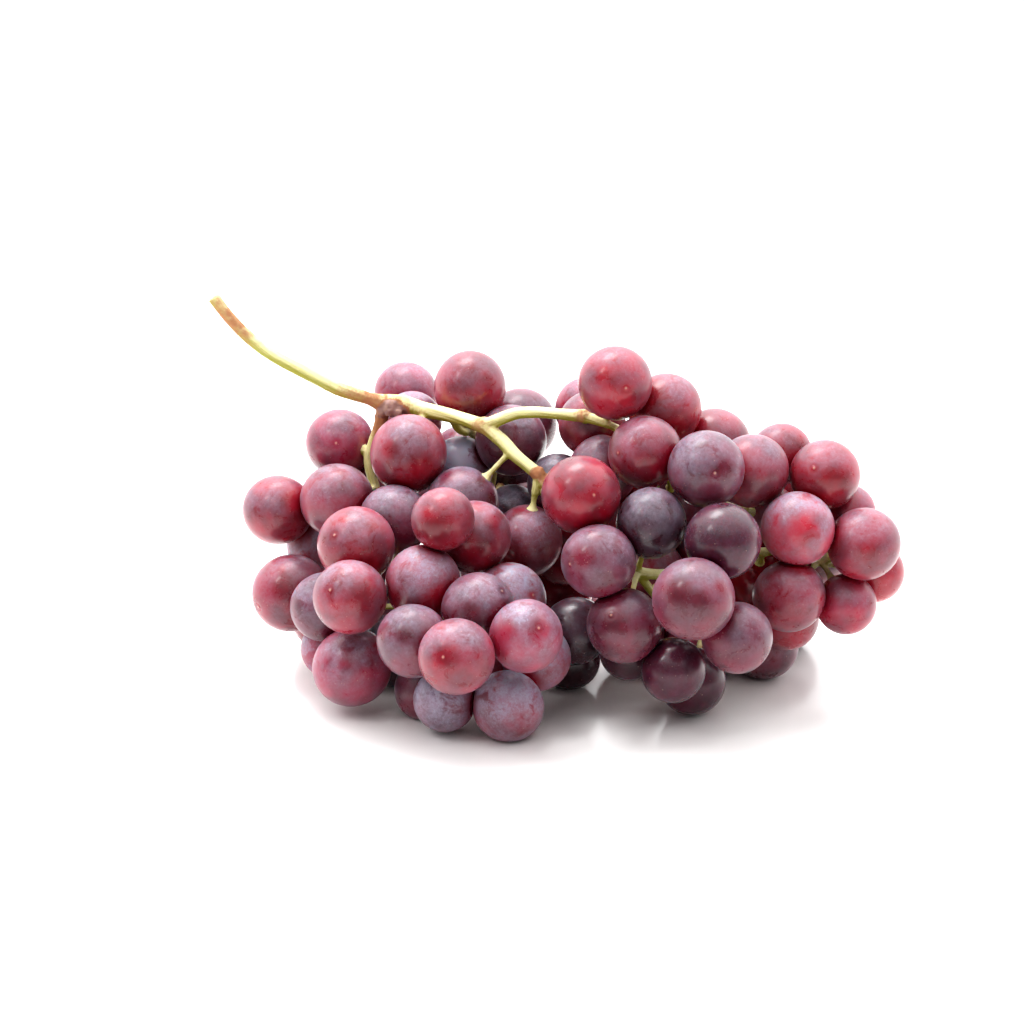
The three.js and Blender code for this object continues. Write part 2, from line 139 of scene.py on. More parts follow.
# How much of its wax a berry keeps below, where less wax leaves the skin deeper red as painted shade, and on
# top, where more wax makes it paler as painted light, and how steep its skin is where that changes
PAINTED_SHADE_WAX_BELOW = 0.55
PAINTED_LIGHT_WAX_ABOVE = 1.55
LOW_SIDE = -0.4
HIGH_SIDE = 0.9

# Wax thinned near each neighbour, as painted shade that leaves the skin deeper red between berries: how much
# a neighbour leaves beside it, and how far from it none is missing. Wax rubbed off: how much a patch that
# the view shows has lost
PAINTED_SHADE_WAX_BESIDE = 0.15
PAINTED_SHADE_REACH = 4.0
RUB_DEPTH = 0.8

# The stalk's mesh and form, in millimetres: fine ridges along it, and rough bark from BARK_START on
SKIN_STEP = 0.36
SAMPLES_A_STRETCH = 8
SMOOTHING_ROUNDS = 3
RIDGE_HEIGHT = 0.16
RIDGE_FINENESS = 1.6
BARK_HEIGHT = 0.5
BARK_GRAIN = 1.1
BARK_FRACTAL = (0.8, 2.2, 3)
BARK_START = 0.35

# The stalk's grain, which runs along it: its length, its fineness around, how far apart it lies on
# two stems, and how softly it goes from one place along a stem to the next
GRAIN_LENGTH = 24.0
GRAIN_AROUND = 2.0
GRAIN_APART = 40.0
BLENDED_PLACES = 3
BLEND_SOFTNESS = 0.05

# A pedicel: how deep it is sunk in its berry, its bark, how far before its end the flare starts,
# widens and is full, and how thick it is there against its slim or flared radius
PEDICEL_SUNK = 0.45
PEDICEL_BARK = 0.12
PEDICEL_BARK_SPREAD = 0.15
FLARE_START = 2.4
FLARE_WIDENS = 1.2
FLARE_FULL = 0.5
LEAST_NECK_SHARE = 0.3
ROOT_THICKNESS = 1.35
NECK_THICKNESS = 1.05
WIDENING_THICKNESS = 1.5
RIM_THICKNESS = 0.96

# A knuckle: half its length against its radius, and its thickness at steps of that half
KNUCKLE_HALF = 0.35
KNUCKLE_SHAPE = ((-1.6, 0.55), (-1.0, 0.88), (0.0, 1.0), (1.0, 0.88), (1.6, 0.55))


class Seen(NamedTuple):
    """A berry that the view shows: its middle in pixels, its radius in millimetres and its looks.

    back is how far behind the middle of the bunch one sits, in millimetres, where it leans on no
    nearer berry. scar is the pixel of its flower scar, and each rub is the pixel of a patch where
    its wax is rubbed off, with the patch's radius in millimetres.
    """

    cluster: str
    across: float
    down: float
    radius: float
    tone: str
    bloom: float
    back: float = None
    scar: tuple = None
    rubs: tuple = ()


# Berries in front of the stalk, nearest first
FRONT_BERRIES = [
    Seen("left", 456.5, 656.5, 9.8, "crimson", 0.62, back=-45, scar=(443, 657), rubs=((446, 658, 3.5),)),
    Seen(
        "left", 526, 636, 9.5, "rose", 1.05, back=-38,
        scar=(539, 628), rubs=((505, 630, 3), (540, 627, 3.5)),
    ),
    Seen("left", 350, 597, 9.8, "crimson", 0.66, back=-22, scar=(330, 590), rubs=((363, 600, 4.5),)),
    Seen("left", 508, 706, 9.4, "crimson", 1.6, back=-24.5),
    Seen("left", 536, 657, 9.1, "salmon", 2.0),
    Seen("left", 413, 641, 9.5, "plum", 0.66, rubs=((404, 636, 2.2),)),
    Seen("left", 478, 609, 9.6, "plum", 0.75, scar=(502, 591), rubs=((471, 611, 3),)),
    Seen("left", 445, 700, 8.4, "plum", 2.0),
    Seen("left", 425, 690, 8.3, "plum", 0.5),
    Seen("left", 509, 599, 10.0, "crimson", 1.7, scar=(533, 595)),
    Seen("left", 423, 583, 10.1, "crimson", 1.1, rubs=((397, 600, 3), (437, 603, 4))),
    Seen("left", 352, 667, 10.6, "rose", 0.85, back=-8, rubs=((328, 660, 1.6), (345, 663, 2.2))),
    Seen("left", 356, 545, 10.4, "scarlet", 0.55, scar=(334, 535), rubs=((371, 566, 6), (341, 519, 1.5))),
    Seen("left", 326, 607, 9.6, "plum", 0.85),
    Seen("left", 291, 593, 10.8, "crimson", 0.62, scar=(258, 607), rubs=((283, 587, 3.5), (282, 571, 1.4))),
    Seen("left", 332, 648, 8.6, "rose", 1.8),
    Seen("left", 443, 519, 8.4, "crimson", 0.55, back=-20, rubs=((438, 530, 5), (427, 512, 1.5))),
    Seen("left", 394, 520, 9.8, "plum", 0.66, rubs=((402, 548, 6),)),
    Seen("left", 474, 537, 9.9, "crimson", 0.68, rubs=((493, 523, 2.5), (480, 556, 6))),
    Seen("left", 462, 503, 10.1, "plum", 0.8, rubs=((446, 477, 2.5), (493, 497, 3))),
    Seen("left", 337, 500, 10.2, "crimson", 0.72),
    Seen("left", 278, 510, 9.8, "crimson", 0.6, rubs=((290, 500, 3),)),
    Seen("left", 319, 545, 9.1, "scarlet", 1.6),
    Seen("left", 408.5, 454, 10.8, "crimson", 0.65, back=14, rubs=((391, 449, 3.2), (420, 470, 4.5))),
    Seen(
        "right", 693.5, 599, 10.6, "plum", 0.5, back=-42,
        rubs=((677, 592, 4), (700, 601, 3), (721, 587, 2)),
    ),
    Seen("right", 598.5, 561, 9.7, "plum", 0.75, back=-28, scar=(570, 564), rubs=((582, 557, 3.5),)),
    Seen("right", 798, 528.5, 9.9, "salmon", 1.15, back=-14, rubs=((804, 527, 4.5),)),
    Seen("right", 706, 469, 10.2, "plum", 0.68, back=-21, scar=(715, 473), rubs=((725, 470, 3),)),
    Seen("right", 581, 495, 10.5, "crimson", 0.3, scar=(594, 495), rubs=((590, 515, 6),)),
    Seen("right", 624.5, 625.5, 9.9, "plum", 0.38, scar=(611, 615), rubs=((615, 622, 3.5),)),
    Seen("right", 737, 637.5, 9.3, "plum", 0.48),
    Seen("right", 723, 541, 10.0, "wine", 0.14),
    Seen("right", 789, 596, 9.7, "crimson", 0.58),
    Seen("right", 651.5, 523, 9.3, "dusky", 0.62),
    Seen("right", 787, 617, 9.0, "crimson", 0.55),
    Seen("right", 864, 544, 9.8, "crimson", 0.62, rubs=((868, 552, 3),)),
    Seen("right", 846, 604, 8.2, "rose", 0.6),
    Seen("right", 673, 670, 8.6, "wine", 0.12),
    Seen("right", 692, 681, 9.1, "wine", 0.05),
    Seen("right", 764, 644, 9.8, "plum", 0.62),
    Seen("right", 630, 650, 8.2, "dusky", 0.15),
    Seen("right", 575, 631, 9.2, "dusky", 0.35),
    Seen("right", 570, 660, 8.3, "dusky", 0.2),
    Seen("right", 645, 452, 9.8, "crimson", 0.62, scar=(618, 453), rubs=((648, 470, 5),)),
    Seen("right", 752, 471, 9.9, "crimson", 0.6),
    Seen("right", 825, 475, 9.5, "scarlet", 0.55, scar=(814, 468), rubs=((836, 482, 4.5),)),
    Seen("right", 846, 514, 8.2, "salmon", 0.5),
    Seen("right", 873, 572, 8.5, "scarlet", 0.42),
    Seen(
        "right", 615, 383, 10.0, "scarlet", 0.52, back=-8,
        scar=(626, 388), rubs=((628, 398, 3), (603, 372, 2)),
    ),
    Seen("right", 665, 410, 9.9, "scarlet", 0.6, rubs=((676, 425, 4),)),
    Seen("right", 714, 445, 10.2, "crimson", 0.38),
    Seen("right", 781, 454, 8.4, "crimson", 0.5),
    Seen("back", 527, 541, 9.9, "crimson", 0.8, rubs=((512, 560, 5),)),
]

# Berries behind the stalk, nearest first
REAR_BERRIES = [
    Seen("left", 340, 443, 9.8, "rose", 0.6, scar=(336, 443)),
    Seen("right", 603, 470, 9.5, "plum", 0.6),
    Seen("right", 592, 424, 9.4, "crimson", 0.55),
    Seen("right", 588, 410, 9.4, "rose", 0.6),
    Seen("back", 558, 484, 8.6, "dusky", 0.7),
    Seen("back", 513, 514, 8.4, "dusky", 1.0),
    Seen("back", 511, 440, 10.1, "plum", 0.62),
    Seen("back", 460, 470, 9.4, "plum", 4.0),
    Seen("back", 470, 388, 10.3, "crimson", 0.45),
    Seen("back", 520, 425, 10.6, "plum", 0.48),
    Seen("back", 412, 421, 8.5, "rose", 1.2),
    Seen("back", 406, 394, 9.3, "rose", 0.72),
    Seen("right", 752, 576, 9.4, "crimson", 0.0),
    Seen("right", 566, 553, 9.3, "crimson", 0.1),
    Seen("right", 560, 592, 9.3, "crimson", 0.1),
    Seen("back", 463, 456, 9.0, "rose", 0.85),
    Seen("left", 497, 668, 9.0, "salmon", 1.0),
]


class Gathering(NamedTuple):
    """An egg-shaped space in which unseen berries gather: its middle and half widths."""

    cluster: str
    middle: tuple
    reach: tuple


GATHERINGS = [
    Gathering("left", (-34, 4, 34), (44, 54, 44)),
    Gathering("left", (-20, -18, 26), (30, 36, 36)),
    Gathering("right", (52, 6, 38), (58, 50, 50)),
    Gathering("right", (34, 6, 30), (34, 42, 42)),
    Gathering("right", (72, 6, 40), (36, 40, 42)),
    Gathering("back", (-4, 28, 38), (40, 46, 48)),
]


class Sighted(NamedTuple):
    """A place along a seen stem: its pixel, then how far back it is, its radius and its bark."""

    across: float
    down: float
    back: float
    radius: float
    bark: float = 0.0


class Inner(NamedTuple):
    """A place along an unseen stem, before the bunch is moved to its origin."""

    at: tuple
    radius: float
    bark: float = 0.15


PEDUNCLE_AND_AXIS = [
    Sighted(213, 297, 4, 1.75, 0.3),
    Sighted(235, 324, 6, 1.7, 0.5),
    Sighted(265, 350, 9, 1.8, 0.1),
    Sighted(300, 369, 12, 2.0, 0.0),
    Sighted(338, 388, 15, 2.1, 0.25),
    Sighted(368, 398, 18, 1.8, 0.5),
    Sighted(384, 403, 20, 2.7, 0.3),
    Sighted(402, 404, 20, 2.6, 0.35),
    Sighted(420, 409, 20, 2.3, 0.0),
    Sighted(440, 413, 18, 2.1, 0.0),
    Sighted(460, 418, 15, 1.9, 0.0),
    Sighted(478, 424, 12, 2.1, 0.3),
    Sighted(488, 428, 11, 2.2, 0.35),
]
UPPER_ARM = [
    Sighted(484, 426, 11, 2.0, 0.35),
    Sighted(505, 417, 9, 1.75, 0.05),
    Sighted(520, 413, 8, 1.65),
    Sighted(540, 412.5, 6, 1.6),
    Sighted(560, 414, 4.5, 1.6),
    Sighted(583, 416, 3, 1.8, 0.2),
]
LOWER_ARM = [
    Sighted(484, 426, 11, 2.0, 0.35),
    Sighted(503, 442, 9.5, 2.0, 0.1),
    Sighted(515, 455, 8, 1.9),
    Sighted(527, 465, 7, 1.75, 0.05),
    Sighted(539, 475, 6, 1.9, 0.55),
]
HANGING_STEM = [
    Sighted(539, 473, 6, 1.5, 0.5),
    Sighted(537, 485, 6.5, 1.3, 0.05),
    Sighted(535, 494, 7.5, 1.2),
]
LEFT_ARM_TOP = [
    Sighted(384, 403, 20, 2.2, 0.8),
    Sighted(380, 425, 23, 1.8, 0.6),
    Sighted(372, 445, 25, 1.5, 0.1),
    Sighted(369, 465, 26, 1.5, 0.1),
]
LEFT_ARM_REST = [
    Inner((-36.5, 26, 44), 1.4),
    Inner((-33, 15, 33), 1.3),
    Inner((-29, 0, 26), 1.2),
    Inner((-27, -13, 22), 1.1),
]
RIGHT_ARM = [
    Inner((15.5, 3, 50.5), 1.7),
    Inner((25, -5, 43), 1.6),
    Inner((33.5, -11.5, 37.5), 1.5),
    Inner((48, -6, 36), 1.4),
    Inner((62, 0, 39), 1.3),
    Inner((75, 2, 39), 1.2),
    Inner((84, -3.6, 37.5), 1.0),
]
RIGHT_ARM_FOOT = [
    Inner((33.5, -11.5, 37.5), 1.3),
    Inner((41, -7, 27), 1.2),
    Inner((52, -5, 20), 1.1),
]
TOP_ARM = [
    Inner((27, 7.5, 73), 1.1),
    Inner((34, 12, 68), 1.1),
    Inner((42, 7, 60), 1.1),
    Inner((52, 1, 55), 1.0),
    Inner((63, 5, 50), 1.0),
]
BACK_ARM_ROOT = Sighted(452, 416, 16.5, 1.4)
BACK_ARM = [
    Inner((-15, 25.5, 68), 1.2),
    Inner((-12.8, 29, 66), 1.2),
    Inner((-13.5, 37.5, 65.1), 1.2),
    Inner((-9.5, 39.5, 61.5), 1.2),
    Inner((-5.5, 40, 55.5), 1.2),
    Inner((-6, 41, 47), 1.2),
    Inner((-8, 42, 34), 1.2),
    Inner((-4, 33, 22), 1.1),
]

# Knuckles where stems part: swollen, and rough with bark
KNUCKLES = [
    Sighted(390, 408, 18.5, 2.7, 1.0),
    Sighted(398, 413, 18.5, 1.9, 1.0),
    Sighted(381, 411, 20, 2.2, 0.8),
    Sighted(484, 424, 11, 2.2, 0.4),
    Sighted(540, 473.5, 5.6, 2.0, 0.7),
    Sighted(584, 416, 2.8, 2.05, 0.5),
]

CLUSTERS = {
    "left": "Left_cluster_berries",
    "right": "Right_cluster_berries",
    "back": "Back_cluster_berries",
}
SKIN_TONES = {
    "scarlet": "#94021C",
    "salmon": "#9C1832",
    "crimson": "#86021F",
    "rose": "#8C0C30",
    "plum": "#640424",
    "wine": "#480424",
    "dusky": "#3A0417",
}
HIDDEN_TONES = ("crimson", "crimson", "plum", "rose", "dusky", "scarlet")


def linear(text):
    """Linear red, green and blue of an sRGB hex colour."""
    parts = [int(text[i : i + 2], 16) / 255 for i in (1, 3, 5)]
    return tuple(c / 12.92 if c <= 0.04045 else ((c + 0.055) / 1.055) ** 2.4 for c in parts)


# The rule that places the bunch

def view_point(across, down, back):
    """Place in the bunch of a pixel of the view, `back` millimetres behind the bunch's middle."""
    away = EYE_DISTANCE + back
    side = (across - PICTURE_MIDDLE) / FOCAL * away
    rise = (PICTURE_MIDDLE - down) / FOCAL * away
    return np.array([side, back * LEVEL + rise * TILT, AIM_HEIGHT - back * TILT + rise * LEVEL])


def view_of(points):
    """Pixels across and down, millimetres back and pixels to the millimetre, of each point."""
    height = points[:, 2] - AIM_HEIGHT
    back = points[:, 1] * LEVEL - height * TILT
    rise = points[:, 1] * TILT + height * LEVEL
    scale = FOCAL / (EYE_DISTANCE + back)
    return PICTURE_MIDDLE + points[:, 0] * scale, PICTURE_MIDDLE - rise * scale, back, scale


def meetings(starts, ways, centres, reaches, side=1):
    """Distance along each line at which it is `reach` from each centre, or -inf where it never is."""
    to_centres = centres[None, :, :] - starts[:, None, :]
    length = np.sum(ways * ways, axis=1)[:, None]
    middle = np.einsum("lk,lck->lc", ways, to_centres) / length
    inside = middle**2 - (np.sum(to_centres**2, axis=2) - reaches**2) / length
    far = middle + side * np.sqrt(np.maximum(inside, 0))
    return np.where(inside > 0, far, -np.inf)


def sight_line(across, down):
    """The eye, and the way from it through a pixel, one millimetre deep."""
    eye = view_point(across, down, -EYE_DISTANCE)
    return eye, view_point(across, down, 1 - EYE_DISTANCE) - eye


class Heap:
    """The berries placed so far."""

    def __init__(self):
        self.berries = []
        self.centres = np.zeros((0, 3))
        self.radii = np.zeros(0)
        self.clusters = np.zeros(0, dtype="<U8")

    def put(self, berry):
        """Adds a berry in its final place."""
        self.berries.append(berry)
        self.centres = np.vstack([self.centres, berry.centre])
        self.radii = np.append(self.radii, berry.radius)
        self.clusters = np.append(self.clusters, berry.cluster)

    def reaches(self, cluster, radius):
        """How far the middle of a new berry stays from the middle of each other one."""
        spacing = np.where(self.clusters == cluster, -PRESS, CLUSTER_GAP)
        return radius + self.radii + spacing


def lean_back(row, heap, stem_points):
    """A seen berry goes back along its line of sight until it leans on a berry or a stem."""
    eye, sight = sight_line(row.across, row.down)
    away = EYE_DISTANCE + (FARTHEST_FORWARD if row.back is None else row.back)
    met = meetings(eye[None], sight[None], heap.centres, heap.reaches(row.cluster, row.radius))
    away = max(away, met.max(initial=0))
    if len(stem_points):
        reaches = row.radius + stem_points[:, 3] + STALK_CLEARANCE
        away = max(away, meetings(eye[None], sight[None], stem_points[:, :3], reaches).max(initial=0))
    return eye + sight * away


def stem_samples(stem):
    """Points every SAMPLE_STEP along a stem, each with its radius."""
    rows = []
    for (start, first), (end, last) in zip(stem, stem[1:]):
        count = max(1, int(np.linalg.norm(end - start) / SAMPLE_STEP))
        for k in range(count + 1):
            share = k / count
            rows.append([*(start + (end - start) * share), (1 - share) * first + share * last])
    return np.array(rows)


def stem_route(rows):
    """Places, radii and bark of a stem's rows."""
    return [
        (np.array(row.at, float) if isinstance(row, Inner) else view_point(*row[:3]), row.radius, row.bark)
        for row in rows
    ]


def lay_stems():
    """Every main stem as a list of places with their radii and bark."""
    upper = stem_route(UPPER_ARM)
    lower = stem_route(LOWER_ARM)
    return [
        stem_route(PEDUNCLE_AND_AXIS),
        upper,
        lower,
        stem_route(HANGING_STEM),
        stem_route(LEFT_ARM_TOP + LEFT_ARM_REST),
        [lower[-1], *stem_route(RIGHT_ARM)],
        stem_route(RIGHT_ARM_FOOT),
        [upper[-1], *stem_route(TOP_ARM)],
        stem_route([BACK_ARM_ROOT, *BACK_ARM]),
    ]


def stays_unseen(centre, radius, seen):
    """Whether an unseen berry stays within the outline that the seen ones make."""
    across, down, back, scale = (value[0] for value in view_of(centre[None]))
    seen_across, seen_down, seen_back, seen_scale = seen.view
    turns = 2 * math.pi * np.arange(OUTLINE_POINTS) / OUTLINE_POINTS
    size = (radius - OUTLINE_INSET) * scale
    ring_across = across + size * np.cos(turns)
    ring_down = down + size * np.sin(turns)
    apart = (ring_across[:, None] - seen_across) ** 2 + (ring_down[:, None] - seen_down) ** 2
    covers = (apart < (seen.radii * seen_scale) ** 2) & (seen_back < back + OUTLINE_DEPTH)
    return bool(covers.any(axis=1).all())


def search_ways(gathering, radius):
    """Starts and directions from which a berry can slide into a gathering."""
    golden_angle = math.pi * (3 - math.sqrt(5))
    starts, ways = [], []
    for k in range(DIRECTIONS):
        rise = 1 - 2 * (k + 0.5) / DIRECTIONS
        level = math.sqrt(1 - rise * rise)
        east, north = math.cos(k * golden_angle), math.sin(k * golden_angle)
        starts.append(gathering.middle)
        ways.append((east * level, north * level, rise))
        if rise <= -LEAST_FALL:
            starts.append((gathering.middle[0], gathering.middle[1], radius - FLOOR_SINK))
            ways.append((east, north, 0.0))
    return np.array(starts, float), np.array(ways, float)


def next_unseen(radius, heap, seen, stem_points):
    """One more unseen berry: of all sides of all gatherings, the place deepest in one."""
    best = None
    floor = radius - FLOOR_SINK - FLOOR_SLACK
    for gathering in GATHERINGS:
        starts, ways = search_ways(gathering, radius)
        met = meetings(starts, ways, heap.centres, heap.reaches(gathering.cluster, radius))
        distances = met.max(axis=1)
        leans = (heap.clusters[met.argmax(axis=1)] == gathering.cluster) & (distances > INNERMOST)
        edges = 1 / np.linalg.norm(ways / np.array(gathering.reach), axis=1)
        centres = starts + ways * np.where(leans, distances, 0)[:, None]
        fits = leans & (distances + radius <= edges) & (centres[:, 2] >= floor)
        depths = np.where(fits, distances / edges, np.inf)
        for i in np.argsort(depths, kind="stable"):
            if depths[i] == np.inf or (best is not None and depths[i] >= best.depth):
                break
            room = np.linalg.norm(stem_points[:, :3] - centres[i], axis=1) - stem_points[:, 3]
            if (room >= radius + STALK_CLEARANCE).all() and stays_unseen(centres[i], radius, seen):
                best = SimpleNamespace(
                    cluster=gathering.cluster, radius=radius, centre=centres[i], depth=depths[i], row=None
                )
                break
    return best


def lay_berries(stems):
    """All berries: the seen ones by the lines of sight, then unseen ones until no more fit."""
    samples = [stem_samples([place[:2] for place in stem]) for stem in stems]
    stem_points = np.vstack(samples)
    left_arm_top = stem_samples([place[:2] for place in stems[SEEN_STEMS][: len(LEFT_ARM_TOP)]])
    seen_stem_points = np.vstack([*samples[:SEEN_STEMS], left_arm_top])
    heap = Heap()
    for rows, points in ((FRONT_BERRIES, ()), (REAR_BERRIES, seen_stem_points)):
        for row in rows:
            centre = lean_back(row, heap, points)
            heap.put(SimpleNamespace(cluster=row.cluster, radius=row.radius, centre=centre, row=row))
    seen = SimpleNamespace(view=view_of(heap.centres), radii=heap.radii.copy())
    state = SEED
    while True:
        state = (DRAW_FACTOR * state + DRAW_STEP) % DRAW_RANGE
        share = state / DRAW_RANGE
        radius = LEAST_HIDDEN_RADIUS + (MOST_HIDDEN_RADIUS - LEAST_HIDDEN_RADIUS) * share
        berry = next_unseen(radius, heap, seen, stem_points)
        if berry is None:
            return heap
        heap.put(berry)


def distances_to_stretch(points, start, end):
    """Distance from each point to the stretch between two others."""
    way = end - start
    share = np.clip((points - start) @ way / (way @ way), 0, 1)
    return np.linalg.norm(points - start - share[:, None] * way, axis=1)


def lay_pedicels(heap, stems):
    """The shortest straight way from a stem to each berry that no other berry stands in."""
    roots = np.vstack([stem_samples([place[:2] for place in stem]) for stem in stems])
    for i, berry in enumerate(heap.berries):
        berry.root = None
        lengths = np.linalg.norm(roots[:, :3] - berry.centre, axis=1) - berry.radius
        for k in np.argsort(lengths, kind="stable"):
            if lengths[k] > PEDICEL_REACH:
                break
            apart = distances_to_stretch(heap.centres, roots[k, :3], berry.centre)
            free = apart > heap.radii + PEDICEL_ROOM + STALK_CLEARANCE
            free[i] = True
            if free.all():
                berry.root = roots[k, :3]
                break


def lay_bunch():
    """The whole bunch, with its origin under its middle."""
    stems = lay_stems()
    heap = lay_berries(stems)
    lay_pedicels(heap, stems)
    for berry in heap.berries:
        berry.scar = scar_direction(berry)
        rubs = berry.row.rubs if berry.row else ()
        berry.rubs = [(direction_seen(berry, across, down), size) for across, down, size in rubs]
        berry.centre = berry.centre - MIDDLE
        berry.root = None if berry.root is None else berry.root - MIDDLE
    heap.centres = heap.centres - MIDDLE
    stems = [[(place - MIDDLE, radius, bark) for place, radius, bark in stem] for stem in stems]
    return stems, heap


def scar_direction(berry):
    """Which way a berry's flower scar faces: where the view shows it, or away from its stem, and
    out of sight on a seen berry."""
    if berry.row is not None and berry.row.scar is not None:
        return direction_seen(berry, *berry.row.scar)
    if berry.root is not None:
        way = unit(berry.centre - berry.root)
    else:
        middle = next(gathering.middle for gathering in GATHERINGS if gathering.cluster == berry.cluster)
        way = unit(berry.centre - np.array(middle, float))
    facing = way @ TOWARDS_EYE
    if berry.row is not None and facing > 0:
        way = unit(way - SCAR_TURN * facing * TOWARDS_EYE)
    return way


def direction_seen(berry, across, down):
    """The direction from a berry's middle to the place on its skin that a pixel shows."""
    eye, sight = sight_line(across, down)
    centre, reach = berry.centre[None], np.array([berry.radius])
    near = meetings(eye[None], sight[None], centre, reach, side=-1)[0, 0]
    if near < 0:
        raise ValueError(f"The pixel {across}, {down} isn't on its berry")
    return unit(eye + sight * near - berry.centre)


def unit(way):
    """A way with a length of one."""
    return way / np.linalg.norm(way)


def square_frame(way, spin):
    """Three unit vectors at right angles, the last one along a way."""
    helper = np.eye(3)[0 if abs(way[0]) < 0.8 else 1]
    side = unit(np.cross(helper, way))
    other = np.cross(way, side)
    turned = side * math.cos(spin) + other * math.sin(spin)
    return np.array([turned, np.cross(way, turned), way])


# Shapes


def round_mesh():
    """A round mesh that every berry starts from, and the direction of each of its vertices."""
    mesh_maker = bmesh.new()
    bmesh.ops.create_uvsphere(mesh_maker, u_segments=AROUND, v_segments=RINGS, radius=1)
    mesh = bpy.data.meshes.new("Round_berry")
    mesh_maker.to_mesh(mesh)
    mesh_maker.free()
    places = np.zeros(len(mesh.vertices) * 3)
    mesh.vertices.foreach_get("co", places)
    return mesh, crowd_poles(places.reshape(-1, 3))


def crowd_poles(directions):
    """Moves the rings of a round mesh towards its two poles, where the small forms are."""
    polar = np.arccos(np.clip(directions[:, 2], -1, 1))
    crowded = polar - POLE_CROWDING * np.sin(2 * polar) / 2
    flat = np.maximum(np.hypot(directions[:, 0], directions[:, 1]), NEARLY_ZERO)
    level = np.sin(crowded) / flat
    return np.column_stack([directions[:, 0] * level, directions[:, 1] * level, np.cos(crowded)])


def bump(distance, width):
    """1 in the middle of a soft spot, and next to nothing two widths from it."""
    return np.exp(-((distance / width) ** 2))


def eased(value, low, high):
    """0 at `low` and 1 at `high`, with a smooth rise between them."""
    share = np.clip((value - low) / (high - low), 0, 1)
    return share * share * (3 - 2 * share)


def wax_with_painted_light_and_shade(berry, ways, places, heap):
    """The share of its wax that a berry still has at each of its places, with painted light that makes its
    top paler, painted shade that leaves it deeper red beside its neighbours, and the patches where its wax
    is rubbed off.
    """
    # Painted light and shade: more wax, so paler skin, on top, and less wax, so deeper red, below
    wax = PAINTED_SHADE_WAX_BELOW + (PAINTED_LIGHT_WAX_ABOVE - PAINTED_SHADE_WAX_BELOW) * eased(ways[:, 2], LOW_SIDE, HIGH_SIDE)
    # Painted shade: the wax thins, and the skin shows deeper red, within reach of each neighbour
    apart = np.linalg.norm(heap.centres - berry.centre, axis=1)
    near = (apart > 0) & (apart < heap.radii + berry.radius + PAINTED_SHADE_REACH)
    if near.any():
        to_centres = np.linalg.norm(places[:, None, :] - heap.centres[near], axis=2)
        gap = (to_centres - heap.radii[near]).min(axis=1)
        wax *= PAINTED_SHADE_WAX_BESIDE + (1 - PAINTED_SHADE_WAX_BESIDE) * eased(gap, 0, PAINTED_SHADE_REACH)
    for towards, size in berry.rubs:
        distance = berry.radius * np.arccos(np.clip(ways @ towards, -1, 1))
        wax *= 1 - RUB_DEPTH * np.exp(-((distance / size) ** 4))
    return wax


def berry_surface(berry, directions, heap, settings, draw):
    """Places of a berry's skin in millimetres, and what its finish needs at each of them."""
    turn = square_frame(berry.scar, draw.uniform(0, 2 * math.pi))
    ways = directions @ turn
    oval = draw.uniform(*OVAL_SHARES) * settings.oval
    reach = berry.radius * (1 + oval * (directions[:, 2] ** 2 - 1 / 3))
    for _ in range(SWELLINGS):
        swelling = np.sin(directions @ draw.normal(0, SWELLING_TURNS, 3) + draw.uniform(0, SWELLING_SHIFT))
        reach += berry.radius * settings.unevenness / SWELLINGS * swelling
    scar = berry.radius * np.arccos(np.clip(directions[:, 2], -1, 1))
    reach += SCAR_DOT * bump(scar, SCAR_DOT_WIDTH) - SCAR_PIT * bump(scar, SCAR_PIT_WIDTH)
    if berry.root is not None:
        towards_root = unit(berry.root - berry.centre)
        seat = berry.radius * np.arccos(np.clip(ways @ towards_root, -1, 1))
        reach -= SEAT_DEPTH * bump(seat, SEAT_WIDTH)
    touch = np.zeros(len(ways))
    free_reach = reach.copy()
    planes = [(np.array([0, 0, -1.0]), berry.centre[2] - TABLE_GAP)]
    apart = np.linalg.norm(heap.centres - berry.centre, axis=1)
    for k in np.nonzero((apart > 0) & (apart < heap.radii + berry.radius + TOUCH_FADE * 2))[0]:
        way = (heap.centres[k] - berry.centre) / apart[k]
        depth = (apart[k] ** 2 + berry.radius**2 - heap.radii[k] ** 2) / (2 * apart[k])
        planes.append((way, depth - TOUCH_GAP / 2))
    for way, depth in planes:
        facing = ways @ way
        limit = depth / np.maximum(facing, LEAST_FACING)
        limit = np.where(facing > LEAST_FACING, limit, OUT_OF_REACH)
        reach = -SOFTNESS * np.logaddexp(-reach / SOFTNESS, -limit / SOFTNESS)
        touch = np.maximum(touch, np.exp(-np.maximum(limit - free_reach, 0) / TOUCH_FADE))
    places = berry.centre + ways * reach[:, None]
    return SimpleNamespace(
        places=places,
        skin_place=directions * berry.radius + draw.uniform(-PATTERN_SHIFT, PATTERN_SHIFT, 3),
        scar=scar,
        touch=touch,
        wax=wax_with_painted_light_and_shade(berry, ways, places, heap),
    )


def add_values(mesh, name, kind, values):
    """Keeps one value for each vertex of a mesh, for its finish to read."""
    attribute = mesh.attributes.new(name, kind, "POINT")
    field = {"FLOAT": "value", "FLOAT_VECTOR": "vector", "FLOAT_COLOR": "color"}[kind]
    attribute.data.foreach_set(field, np.ascontiguousarray(values, np.float32).ravel())


def finish_piece(name, mesh, node, material):
    """Makes a mesh a piece with its finish, in the place of its CAD node."""
    piece = bpy.data.objects.new(name, mesh)
    bpy.context.scene.collection.objects.link(piece)
    mesh.materials.clear()
    mesh.materials.append(material)
    mesh.shade_smooth()
    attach(piece, BODY)
    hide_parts(node)


